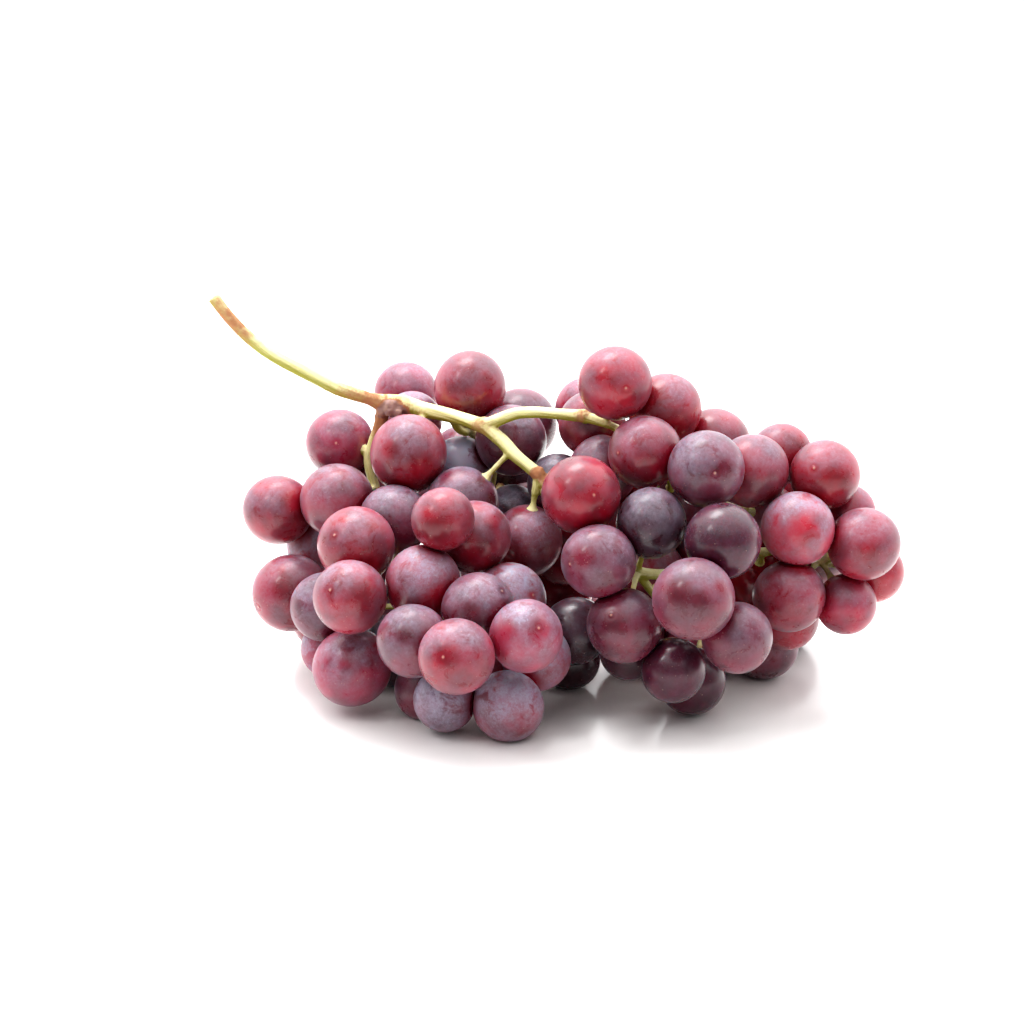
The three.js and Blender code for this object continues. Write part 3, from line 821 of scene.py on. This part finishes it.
def make_cluster(cluster, heap, settings, material):
    """One cluster of berries, each its own closed skin pressed against its neighbours."""
    draw = np.random.default_rng(SEED + len(cluster))
    tones = {name: np.array([*linear(text), 1.0]) for name, text in SKIN_TONES.items()}
    round_berry, directions = round_mesh()
    mesh_maker = bmesh.new()
    gathered = []
    for berry in heap.berries:
        if berry.cluster != cluster:
            continue
        mesh_maker.from_mesh(round_berry)
        surface = berry_surface(berry, directions, heap, settings, draw)
        hidden = berry.row is None
        tone = tones[draw.choice(HIDDEN_TONES) if hidden else berry.row.tone]
        tone = tone * [*draw.uniform(*TONE_SHARES, 3), 1.0]
        surface.tone = np.tile(tone, (len(directions), 1))
        # The bloom kept for the finish carries painted light on the tops and painted shade between berries
        surface.bloom = surface.wax * (draw.uniform(*HIDDEN_BLOOM) if hidden else berry.row.bloom)
        gathered.append(surface)
    mesh = bpy.data.meshes.new(CLUSTERS[cluster])
    mesh_maker.to_mesh(mesh)
    mesh_maker.free()
    bpy.data.meshes.remove(round_berry)
    mesh.vertices.foreach_set("co", np.vstack([s.places for s in gathered]).ravel() * MM)
    add_values(mesh, "skin_place", "FLOAT_VECTOR", np.vstack([s.skin_place for s in gathered]))
    add_values(mesh, "skin_tone", "FLOAT_COLOR", np.vstack([s.tone for s in gathered]))
    for name in ("bloom", "scar", "touch"):
        add_values(mesh, name, "FLOAT", np.concatenate([getattr(s, name) for s in gathered]))
    finish_piece(CLUSTERS[cluster], mesh, f"berries_{cluster}", material)


def bend_through(points, count):
    """A smooth line through the given points, `count` stretches between each two."""
    knots = [Vector(point) for point in points]
    pull = [(knots[min(i + 1, len(knots) - 1)] - knots[max(i - 1, 0)]) / 6 for i in range(len(knots))]
    line = []
    for i in range(len(knots) - 1):
        before, after = knots[i], knots[i + 1]
        for k in range(count):
            t = k / count
            one, two = before + pull[i], after - pull[i + 1]
            line.append(
                before * (1 - t) ** 3 + one * 3 * t * (1 - t) ** 2 + two * 3 * t**2 * (1 - t) + after * t**3
            )
    return [*line, knots[-1]]


def spread(values, count):
    """Values evenly spread between those at the knots."""
    return np.interp(np.arange((len(values) - 1) * count + 1) / count, np.arange(len(values)), values)


def pedicel_line(berry, settings, draw):
    """A berry's own stem as a line: slim, and flared where it holds the berry."""
    length = np.linalg.norm(berry.centre - berry.root) - berry.radius + PEDICEL_SUNK + SEAT_DEPTH
    way = unit(berry.centre - berry.root)
    slim, flare = settings.pedicel_radius, settings.flare_radius
    neck = max(length - FLARE_START, length * LEAST_NECK_SHARE)
    shape = (
        (0, slim * ROOT_THICKNESS),
        (neck * 0.5, slim),
        (neck, slim * NECK_THICKNESS),
        (length - FLARE_WIDENS, slim * WIDENING_THICKNESS),
        (length - FLARE_FULL, flare),
        (length, flare * RIM_THICKNESS),
    )
    bark = np.full(len(shape), PEDICEL_BARK + draw.uniform(0, PEDICEL_BARK_SPREAD))
    places = [Vector(berry.root + way * along) for along, _ in shape]
    return places, [radius / MM for _, radius in shape], bark


def knuckle_line(knuckle):
    """A short thick line with narrower ends, which makes a knuckle."""
    place = Vector(view_point(*knuckle[:3]) - MIDDLE)
    half = Vector((KNUCKLE_HALF * knuckle.radius, 0, 0))
    places = [place + half * step for step, _ in KNUCKLE_SHAPE]
    radii = [knuckle.radius * share for _, share in KNUCKLE_SHAPE]
    return places, radii, [knuckle.bark] * len(KNUCKLE_SHAPE)


def stalk_lines(stems, heap, settings):
    """Every stem, pedicel and knuckle as a line of places with radii and bark."""
    draw = np.random.default_rng(SEED)
    lines = []
    for stem in stems:
        places, radii, bark = zip(*stem)
        spread_out = (spread(values, SAMPLES_A_STRETCH) for values in (radii, bark))
        lines.append((bend_through(places, SAMPLES_A_STRETCH), *spread_out))
    lines += [pedicel_line(berry, settings, draw) for berry in heap.berries if berry.root is not None]
    return lines + [knuckle_line(knuckle) for knuckle in KNUCKLES]


def tube_mesh(lines):
    """All lines as round closed tubes in one mesh, still running through each other."""
    curve = bpy.data.curves.new("Stalk_lines", "CURVE")
    curve.dimensions = "3D"
    curve.bevel_depth = MM
    curve.bevel_resolution = 3
    curve.use_fill_caps = True
    for places, radii, _ in lines:
        spline = curve.splines.new("POLY")
        spline.points.add(len(places) - 1)
        for point, place, radius in zip(spline.points, places, radii):
            point.co = (*(place * MM), 1)
            point.radius = radius
    holder = bpy.data.objects.new("Stalk_lines", curve)
    bpy.context.scene.collection.objects.link(holder)
    graph = bpy.context.evaluated_depsgraph_get()
    mesh = bpy.data.meshes.new_from_object(holder.evaluated_get(graph))
    bpy.data.objects.remove(holder)
    bpy.data.curves.remove(curve)
    return mesh


def one_skin(mesh):
    """The tubes as one body under a single skin of small square faces."""
    holder = bpy.data.objects.new("Stalk_skin", mesh)
    bpy.context.scene.collection.objects.link(holder)
    remesh = holder.modifiers.new("One skin", "REMESH")
    remesh.mode = "VOXEL"
    remesh.voxel_size = SKIN_STEP * MM
    graph = bpy.context.evaluated_depsgraph_get()
    skin = bpy.data.meshes.new_from_object(holder.evaluated_get(graph))
    bpy.data.objects.remove(holder)
    bpy.data.meshes.remove(mesh)
    return skin


def samples_along(lines):
    """Every place of every line, how far along it lies, its bark and its line's way, and a finder."""
    samples = []
    for number, (places, _, bark) in enumerate(lines):
        along = GRAIN_APART * number
        for i, place in enumerate(places):
            along += (place - places[i - 1]).length if i else 0
            way = (places[min(i + 1, len(places) - 1)] - places[max(i - 1, 0)]).normalized()
            samples.append((place, along, bark[i], way))
    finder = kdtree.KDTree(len(samples))
    for i, (place, _, _, _) in enumerate(samples):
        finder.insert(place, i)
    finder.balance()
    return samples, finder


def rind_at(spot, samples, finder):
    """Where in the grain a spot of the stalk's skin lies, and how much bark it has."""
    near = finder.find_n(spot, BLENDED_PLACES)
    shares = np.array([1 / (distance + BLEND_SOFTNESS) ** 2 for _, _, distance in near])
    shares /= shares.sum()
    bark = float(sum(share * samples[i][2] for share, (_, i, _) in zip(shares, near)))
    nearest, index, _ = near[0]
    _, along, _, way = samples[index]
    forward = (spot - nearest).dot(way)
    outward = (spot - nearest - way * forward).normalized()
    rind = outward * GRAIN_AROUND + Vector((1, 1, 1)) * ((along + forward) / GRAIN_LENGTH)
    return rind, bark


def make_stalk(stems, heap, settings, material):
    """The peduncle, arms and pedicels as one body with ridges, knuckles and bark."""
    lines = stalk_lines(stems, heap, settings)
    samples, finder = samples_along(lines)
    mesh = one_skin(tube_mesh(lines))
    mesh_maker = bmesh.new()
    mesh_maker.from_mesh(mesh)
    for _ in range(SMOOTHING_ROUNDS):
        bmesh.ops.smooth_vert(
            mesh_maker, verts=mesh_maker.verts, factor=0.5, use_axis_x=True, use_axis_y=True, use_axis_z=True
        )
    mesh_maker.normal_update()
    rind_places, barks, moves = [], [], []
    for vert in mesh_maker.verts:
        spot = vert.co / MM
        rind, bark = rind_at(spot, samples, finder)
        ridge = noise.noise(rind * RIDGE_FINENESS) * RIDGE_HEIGHT
        rough = noise.fractal(spot / BARK_GRAIN, *BARK_FRACTAL) * BARK_HEIGHT * max(0.0, bark - BARK_START)
        moves.append(vert.normal * ((ridge + rough) * MM))
        rind_places.append(rind)
        barks.append(bark)
    for vert, move in zip(mesh_maker.verts, moves):
        vert.co += move
    mesh_maker.to_mesh(mesh)
    mesh_maker.free()
    mesh.name = "Branched_stalk"
    add_values(mesh, "rind_place", "FLOAT_VECTOR", np.array(rind_places))
    add_values(mesh, "bark", "FLOAT", np.array(barks))
    finish_piece("Branched_stalk", mesh, "stalk", material)


# Finishes

MIX_A, MIX_B, MIX_RESULT = 6, 7, 2


class Pattern(NamedTuple):
    """Noise whose swellings are about `width` millimetres across, and bent where it has a twist."""

    width: float
    detail: float
    roughness: float
    twist: float = 0.0


class Eased(NamedTuple):
    """A value eased from `first` where its source is `low` to `last` where it is `high`."""

    source: str
    low: float
    high: float
    first: float
    last: float


# What each place of the skin keeps for its finish, and how it is read
SKIN_VALUES = {"skin_place": "Vector", "skin_tone": "Color", "bloom": "Fac", "scar": "Fac", "touch": "Fac"}

SKIN_PATTERNS = {
    "clouds": Pattern(9.0, 2.0, 0.5),
    "patches": Pattern(5.0, 5.0, 0.62, 0.5),
    "mottle": Pattern(1.0, 5.0, 0.68),
    "waves": Pattern(3.5, 4.0, 0.6, 1.2),
    "cells": Pattern(8.0, 2.0, 0.5),
}

# What makes the wax thicker or thinner
WAX_SHARES = {
    # It lies thick and thin in soft areas, and is rubbed off in patches some 5 mm across
    "thickness": Eased("clouds", 0.3, 0.7, 0.6, 1.15),
    "rubbed": Eased("patches", 0.32, 0.5, 0.3, 1.0),
    # Fine mottling, 1 mm and less
    "grain": Eased("mottle", 0.33, 0.65, 0.72, 1.1),
    # Hair-fine wrinkles, where it has gathered
    "wrinkle": Eased("ripple", 0.0, 0.014, 1.4, 1.0),
    # It is gone round the flower scar and where berries touch
    "halo": Eased("scar", 0.5, 2.2, 0.3, 1.0),
    "apart": Eased("touch", 0.15, 0.9, 1.0, 0.1),
}
SKIN_SHARES = {
    # The skin's own colour drifts between its red and its purple cells
    "brightness": Eased("cells", 0.3, 0.7, 0.6, 1.3),
    # Sparse pale specks of dust and yeast, 0.4 mm across
    "speck": Eased("specks", 0.05, 0.12, 0.28, 0.0),
    # The flower scar: a dry pale dot not quite a millimetre across
    "dot": Eased("scar", 0.2, 0.5, 0.5, 0.0),
}
SPECKS_A_MILLIMETRE = 0.55
VEIL_DENSITY = 0.42
GLOSSY_TO_WAXED = (0.25, 0.5)
FULL_WAX = 0.8

# Where the painted light on the stalk's upper sides, its turning to wood and its bark start and are full
PAINTED_LIGHT_ON_TOP = (-0.1, 1.0)
WOOD = (0.38, 0.78)
DRY_BARK = (0.95, 1.2)
FIBRE_FINENESS = 2.4
BLOTCH_WIDTH = 2.0


def add_node(tree, kind, inputs=None, **settings):
    """Adds a node with its settings, and sets or links its inputs."""
    node = tree.nodes.new(kind)
    for name, value in settings.items():
        setattr(node, name, value)
    for name, value in (inputs or {}).items():
        if isinstance(value, bpy.types.NodeSocket):
            tree.links.new(value, node.inputs[name])
        else:
            node.inputs[name].default_value = value
    return node


def new_material(name):
    """A material with no nodes yet."""
    material = bpy.data.materials.new(name)
    material.use_nodes = True
    material.node_tree.nodes.clear()
    return material


def grape_skin(settings):
    """Ripe red grape skin under its own wax: a thin pale lilac veil where the wax is whole, and wet-looking
    deep red skin where fingers and touching berries have rubbed it off. The wax also carries painted light,
    thicker and paler on the tops, and painted shade, thinner and deeper red between berries."""
    material = new_material("Waxy grape skin")
    tree = material.node_tree
    values = {}
    for name, output in SKIN_VALUES.items():
        values[name] = add_node(tree, "ShaderNodeAttribute", attribute_name=name).outputs[output]
    place = values["skin_place"]
    for name, pattern in SKIN_PATTERNS.items():
        inputs = {
            "Vector": place,
            "Scale": 1 / pattern.width,
            "Detail": pattern.detail,
            "Roughness": pattern.roughness,
            "Distortion": pattern.twist,
        }
        values[name] = add_node(tree, "ShaderNodeTexNoise", inputs).outputs["Fac"]
    # The wrinkles lie where the waves pass through their middle
    waves = add_node(tree, "ShaderNodeMath", {0: values["waves"], 1: 0.5}, operation="SUBTRACT")
    ripple = add_node(tree, "ShaderNodeMath", {0: waves.outputs[0]}, operation="ABSOLUTE")
    values["ripple"] = ripple.outputs[0]
    specks = add_node(tree, "ShaderNodeTexVoronoi", {"Vector": place, "Scale": SPECKS_A_MILLIMETRE})
    values["specks"] = specks.outputs["Distance"]
    for name, row in {**WAX_SHARES, **SKIN_SHARES}.items():
        inputs = {
            "Value": values[row.source],
            "From Min": row.low,
            "From Max": row.high,
            "To Min": row.first,
            "To Max": row.last,
        }
        share = add_node(tree, "ShaderNodeMapRange", inputs, interpolation_type="SMOOTHSTEP")
        values[name] = share.outputs["Result"]
    # The wax read here carries painted light on the tops and painted shade between berries
    wax = values["bloom"]
    for name in WAX_SHARES:
        wax = add_node(tree, "ShaderNodeMath", {0: wax, 1: values[name]}, operation="MULTIPLY").outputs[0]
    veil = add_node(tree, "ShaderNodeMath", {0: wax, 1: VEIL_DENSITY}, operation="MULTIPLY").outputs[0]
    inputs = {0: values["skin_tone"], 1: values["brightness"]}
    colour = add_node(tree, "ShaderNodeVectorMath", inputs, operation="MULTIPLY").outputs[0]
    for share, over in (
        (veil, settings.bloom_colour),
        (values["speck"], settings.scar_colour),
        (values["dot"], settings.scar_colour),
    ):
        inputs = {0: share, MIX_A: colour, MIX_B: (*over, 1.0)}
        colour = add_node(tree, "ShaderNodeMix", inputs, data_type="RGBA").outputs[MIX_RESULT]
    glossy, waxed = GLOSSY_TO_WAXED
    roughness = add_node(
        tree,
        "ShaderNodeMapRange",
        {"Value": wax, "From Max": FULL_WAX, "To Min": glossy, "To Max": waxed},
        interpolation_type="SMOOTHSTEP",
    )
    relief = add_node(
        tree, "ShaderNodeBump", {"Height": values["mottle"], "Strength": 0.22, "Distance": 0.1 * MM}
    )
    shader = add_node(
        tree,
        "ShaderNodeBsdfPrincipled",
        {
            "Base Color": colour,
            "Roughness": roughness.outputs["Result"],
            "Normal": relief.outputs["Normal"],
            "IOR": 1.5,
            "Specular IOR Level": 0.38,
            "Subsurface Weight": 0.65,
            "Subsurface Radius": (1.0, 0.08, 0.12),
            "Subsurface Scale": settings.glow_depth,
            "Coat Weight": 0.3,
            "Coat Roughness": 0.15,
            "Sheen Weight": 0.12,
            "Sheen Roughness": 0.4,
            "Sheen Tint": (*settings.bloom_colour, 1.0),
        },
    )
    add_node(tree, "ShaderNodeOutputMaterial", {"Surface": shader.outputs[0]})
    return material


def stalk_rind(settings):
    """Fresh grape stalk: smooth yellow-green rind with fine fibres, painted paler on top as painted light
    and darker green below as painted shade, orange-brown where it has begun to turn woody, and dry
    grey-brown bark on the knuckles."""
    material = new_material("Green stalk rind")
    tree = material.node_tree
    rind = add_node(tree, "ShaderNodeAttribute", attribute_name="rind_place").outputs["Vector"]
    bark = add_node(tree, "ShaderNodeAttribute", attribute_name="bark").outputs["Fac"]
    place = add_node(tree, "ShaderNodeTexCoord").outputs["Object"]
    inputs = {"Vector": rind, "Scale": FIBRE_FINENESS, "Detail": 5.0, "Roughness": 0.6}
    fibres = add_node(tree, "ShaderNodeTexNoise", inputs).outputs["Fac"]
    inputs = {"Vector": place, "Scale": 1 / (BLOTCH_WIDTH * MM), "Detail": 4.0, "Roughness": 0.65}
    blotches = add_node(tree, "ShaderNodeTexNoise", inputs).outputs["Fac"]
    # Its upper sides are painted pale as painted light from above, and its undersides darker green, as the
    # stalk's own green and painted shade
    normal = add_node(tree, "ShaderNodeNewGeometry").outputs["Normal"]
    upright = add_node(tree, "ShaderNodeSeparateXYZ", {0: normal}).outputs["Z"]
    inputs = {"Value": fibres, "From Min": 0.3, "From Max": 0.7, "To Min": 0.3, "To Max": 0.65}
    streaks = add_node(tree, "ShaderNodeMapRange", inputs).outputs["Result"]
    inputs = {0: upright, 1: 1.0, 2: streaks}
    painted_light_and_streaks = add_node(tree, "ShaderNodeMath", inputs, operation="MULTIPLY_ADD").outputs[0]
    inputs = {0: blotches, 1: 0.5, 2: bark}
    ragged = add_node(tree, "ShaderNodeMath", inputs, operation="MULTIPLY_ADD").outputs[0]
    shares = []
    for value, (low, high) in ((painted_light_and_streaks, PAINTED_LIGHT_ON_TOP), (ragged, WOOD), (ragged, DRY_BARK)):
        inputs = {"Value": value, "From Min": low, "From Max": high}
        share = add_node(tree, "ShaderNodeMapRange", inputs, interpolation_type="SMOOTHSTEP")
        shares.append(share.outputs["Result"])
    colour = (*settings.green_and_shaded_colour, 1.0)
    for share, over in zip(shares, (settings.lit_top_rind_colour, settings.woody_colour, settings.bark_colour)):
        inputs = {0: share, MIX_A: colour, MIX_B: (*over, 1.0)}
        colour = add_node(tree, "ShaderNodeMix", inputs, data_type="RGBA").outputs[MIX_RESULT]
    relief = add_node(tree, "ShaderNodeBump", {"Height": fibres, "Strength": 0.3, "Distance": 0.15 * MM})
    # Wood is rougher than rind
    roughness = add_node(tree, "ShaderNodeMapRange", {"Value": shares[1], "To Min": 0.42, "To Max": 0.8})
    shader = add_node(
        tree,
        "ShaderNodeBsdfPrincipled",
        {
            "Base Color": colour,
            "Roughness": roughness.outputs["Result"],
            "Normal": relief.outputs["Normal"],
            "IOR": 1.4,
            "Subsurface Weight": 0.25,
            "Subsurface Radius": (1.0, 0.8, 0.25),
            "Subsurface Scale": 0.8 * MM,
        },
    )
    add_node(tree, "ShaderNodeOutputMaterial", {"Surface": shader.outputs[0]})
    return material


def table_top(settings):
    """Glossy white laminate: bright, with a soft reflection close under the bunch."""
    material = new_material("Glossy white laminate")
    tree = material.node_tree
    shader = add_node(
        tree,
        "ShaderNodeBsdfPrincipled",
        {"Base Color": (*settings.table_colour, 1.0), "Roughness": 0.16, "IOR": 1.45},
    )
    add_node(tree, "ShaderNodeOutputMaterial", {"Surface": shader.outputs[0]})
    return material


# What a user would change

def colour_setting(name, description, text):
    """A colour that a user can change, given as sRGB hex."""
    return FloatVectorProperty(
        name=name, description=description, default=linear(text), size=3, subtype="COLOR"
    )


def length_setting(name, description, millimetres):
    """A length that a user can change."""
    return FloatProperty(name=name, description=description, default=millimetres * MM, unit="LENGTH")


class BerrySettings(bpy.types.PropertyGroup):
    """Form and colours of the berries."""

    oval: FloatProperty(
        name="Oval", description="How much longer than round a berry is", default=0.035, subtype="FACTOR"
    )
    unevenness: FloatProperty(
        name="Unevenness",
        description="Soft swellings, as a share of the radius",
        default=0.012,
        subtype="FACTOR",
    )
    glow_depth: length_setting("Glow depth", "How far light spreads in the flesh", 9.0)
    bloom_colour: colour_setting("Bloom", "Colour of the wax", "#A29CB0")
    scar_colour: colour_setting("Flower scar", "Colour of the dry scar", "#CFA392")


class StalkSettings(bpy.types.PropertyGroup):
    """Form and colours of the stalk."""

    pedicel_radius: length_setting("Pedicel radius", "Radius of a berry's own stem", 0.8)
    flare_radius: length_setting("Flare radius", "Radius of a pedicel at its berry", 1.9)
    # Pale cream of the upper sides: painted light
    lit_top_rind_colour: colour_setting("Rind", "Yellow-green of the rind", "#F5F0B6")
    # Green of the stalk and of its darker undersides: its own green and painted shade
    green_and_shaded_colour: colour_setting("Green", "Greener undersides", "#9C9A34")
    woody_colour: colour_setting("Woody", "Where it turns to wood", "#B07C58")
    bark_colour: colour_setting("Bark", "Dry bark of the knuckles", "#9A7A72")


class StageSettings(bpy.types.PropertyGroup):
    """The table, the light and the view."""

    table_width: length_setting("Table width", "Width of the table top", 6000.0)
    table_colour: colour_setting("Table", "Colour of the table top", "#F6F5F4")
    surround: FloatProperty(
        name="Surround", description="Brightness of the white surroundings", default=1.85, min=0.0
    )
    overhead: FloatProperty(
        name="Overhead", description="Extra brightness from straight above", default=1.6, min=0.0
    )
    camera_side: FloatProperty(
        name="Camera side", description="Brightness on the viewer's side", default=0.42, min=0.0
    )


class GRAPES_OT_berries(bpy.types.Operator):
    """Makes the three clusters of berries"""

    bl_idname = "grapes.make_berries"
    bl_label = "Berries"

    def execute(self, context):
        settings = context.scene.grape_berries
        _, heap = lay_bunch()
        material = grape_skin(settings)
        for cluster in CLUSTERS:
            make_cluster(cluster, heap, settings, material)
        return {"FINISHED"}


class GRAPES_OT_stalk(bpy.types.Operator):
    """Makes the branched stalk with its pedicels"""

    bl_idname = "grapes.make_stalk"
    bl_label = "Stalk"

    def execute(self, context):
        settings = context.scene.grape_stalk
        stems, heap = lay_bunch()
        make_stalk(stems, heap, settings, stalk_rind(settings))
        return {"FINISHED"}


class SoftLight(NamedTuple):
    """A soft light: its name, its place, width and depth in metres, and its power in watts."""

    name: str
    place: tuple
    width: float
    depth: float
    power: float


LIGHTS = [
    SoftLight("Overhead_softbox", (-0.14, 0.2, 0.75), 0.36, 0.26, 2.6),
    SoftLight("Left_window", (-0.45, -0.25, 0.60), 0.08, 0.2, 0.6),
]

# Where the surroundings begin and end to brighten, from the viewer's side to the far side and
# towards the top
SIDE_EDGE = 0.45
TOP_EDGES = (0.35, 0.95)


def point_at(thing, target):
    """Turns a light or camera to look at a point."""
    away = thing.location - Vector(target)
    thing.rotation_euler = away.to_track_quat("Z", "Y").to_euler()


def light_surroundings(settings):
    """White surroundings, dimmer on the viewer's side and pure white where the view looks past."""
    world = bpy.data.worlds.new("White surroundings")
    world.use_nodes = True
    tree = world.node_tree
    tree.nodes.clear()
    direction = add_node(tree, "ShaderNodeTexCoord").outputs["Generated"]
    parts = add_node(tree, "ShaderNodeSeparateXYZ", {0: direction})
    sideways = add_node(
        tree,
        "ShaderNodeMapRange",
        {
            "Value": parts.outputs["Y"],
            "From Min": -SIDE_EDGE,
            "From Max": SIDE_EDGE,
            "To Min": settings.camera_side,
            "To Max": settings.surround,
        },
        interpolation_type="SMOOTHSTEP",
    )
    low, high = TOP_EDGES
    above = add_node(
        tree,
        "ShaderNodeMapRange",
        {"Value": parts.outputs["Z"], "From Min": low, "From Max": high, "To Max": settings.overhead},
        interpolation_type="SMOOTHSTEP",
    )
    brightness = add_node(
        tree, "ShaderNodeMath", {0: sideways.outputs["Result"], 1: above.outputs["Result"]}, operation="ADD"
    )
    seen = add_node(tree, "ShaderNodeLightPath").outputs["Is Camera Ray"]
    strength = add_node(
        tree, "ShaderNodeMix", {0: seen, 2: brightness.outputs[0], 3: 1.0}, data_type="FLOAT"
    )
    glow = add_node(tree, "ShaderNodeBackground", {"Color": (1, 1, 1, 1), "Strength": strength.outputs[0]})
    add_node(tree, "ShaderNodeOutputWorld", {"Surface": glow.outputs[0]})
    bpy.context.scene.world = world


def set_camera():
    """The camera where the bunch was seen from."""
    data = bpy.data.cameras.new("View")
    data.sensor_width = SENSOR_WIDTH
    data.lens = FOCAL / PICTURE_WIDTH * SENSOR_WIDTH
    camera = bpy.data.objects.new("View", data)
    bpy.context.scene.collection.objects.link(camera)
    aim = Vector((-MIDDLE[0], -MIDDLE[1], AIM_HEIGHT)) * MM
    camera.location = aim + Vector((0, -LEVEL, TILT)) * EYE_DISTANCE * MM
    point_at(camera, aim)
    bpy.context.scene.camera = camera


def make_table(settings):
    """The table top that the bunch lies on."""
    mesh_maker = bmesh.new()
    bmesh.ops.create_grid(mesh_maker, x_segments=1, y_segments=1, size=settings.table_width / 2)
    mesh = bpy.data.meshes.new("Table_top")
    mesh_maker.to_mesh(mesh)
    mesh_maker.free()
    mesh.materials.append(table_top(settings))
    table = bpy.data.objects.new("Table_top", mesh)
    bpy.context.scene.collection.objects.link(table)


def set_lights():
    """The soft lights, all turned to the middle of the bunch."""
    for light in LIGHTS:
        data = bpy.data.lights.new(light.name, "AREA")
        data.shape = "RECTANGLE"
        data.size = light.width
        data.size_y = light.depth
        data.energy = light.power
        lamp = bpy.data.objects.new(light.name, data)
        lamp.location = light.place
        bpy.context.scene.collection.objects.link(lamp)
        point_at(lamp, (0, 0, AIM_HEIGHT * MM))


class GRAPES_OT_stage(bpy.types.Operator):
    """Makes the white table, the soft light and the camera"""

    bl_idname = "grapes.make_stage"
    bl_label = "Stage"

    def execute(self, context):
        settings = context.scene.grape_stage
        make_table(settings)
        set_lights()
        light_surroundings(settings)
        set_camera()
        context.scene.view_settings.view_transform = "Standard"
        context.scene.view_settings.look = "Medium High Contrast"
        return {"FINISHED"}


class GRAPES_PT_panel(bpy.types.Panel):
    """Lists the settings and the steps that make the bunch"""

    bl_label = "Bunch of Red Grapes"
    bl_idname = "GRAPES_PT_panel"
    bl_space_type = "VIEW_3D"
    bl_region_type = "UI"
    bl_category = "Grapes"

    def draw(self, context):
        for group, operator in STEPS:
            column = self.layout.column()
            settings = getattr(context.scene, group)
            for name in settings.__annotations__:
                column.prop(settings, name)
            column.operator(operator)


STEPS = [
    ("grape_stage", "grapes.make_stage"),
    ("grape_stalk", "grapes.make_stalk"),
    ("grape_berries", "grapes.make_berries"),
]
CLASSES = [
    BerrySettings,
    StalkSettings,
    StageSettings,
    GRAPES_OT_berries,
    GRAPES_OT_stalk,
    GRAPES_OT_stage,
    GRAPES_PT_panel,
]


def register():
    for one in CLASSES:
        bpy.utils.register_class(one)
    bpy.types.Scene.grape_berries = PointerProperty(type=BerrySettings)
    bpy.types.Scene.grape_stalk = PointerProperty(type=StalkSettings)
    bpy.types.Scene.grape_stage = PointerProperty(type=StageSettings)


def unregister():
    for group, _ in STEPS:
        delattr(bpy.types.Scene, group)
    for one in reversed(CLASSES):
        bpy.utils.unregister_class(one)


def main():
    register()
    bpy.ops.grapes.make_stage()
    bpy.ops.grapes.make_stalk()
    bpy.ops.grapes.make_berries()


if __name__ == "__main__":
    main()
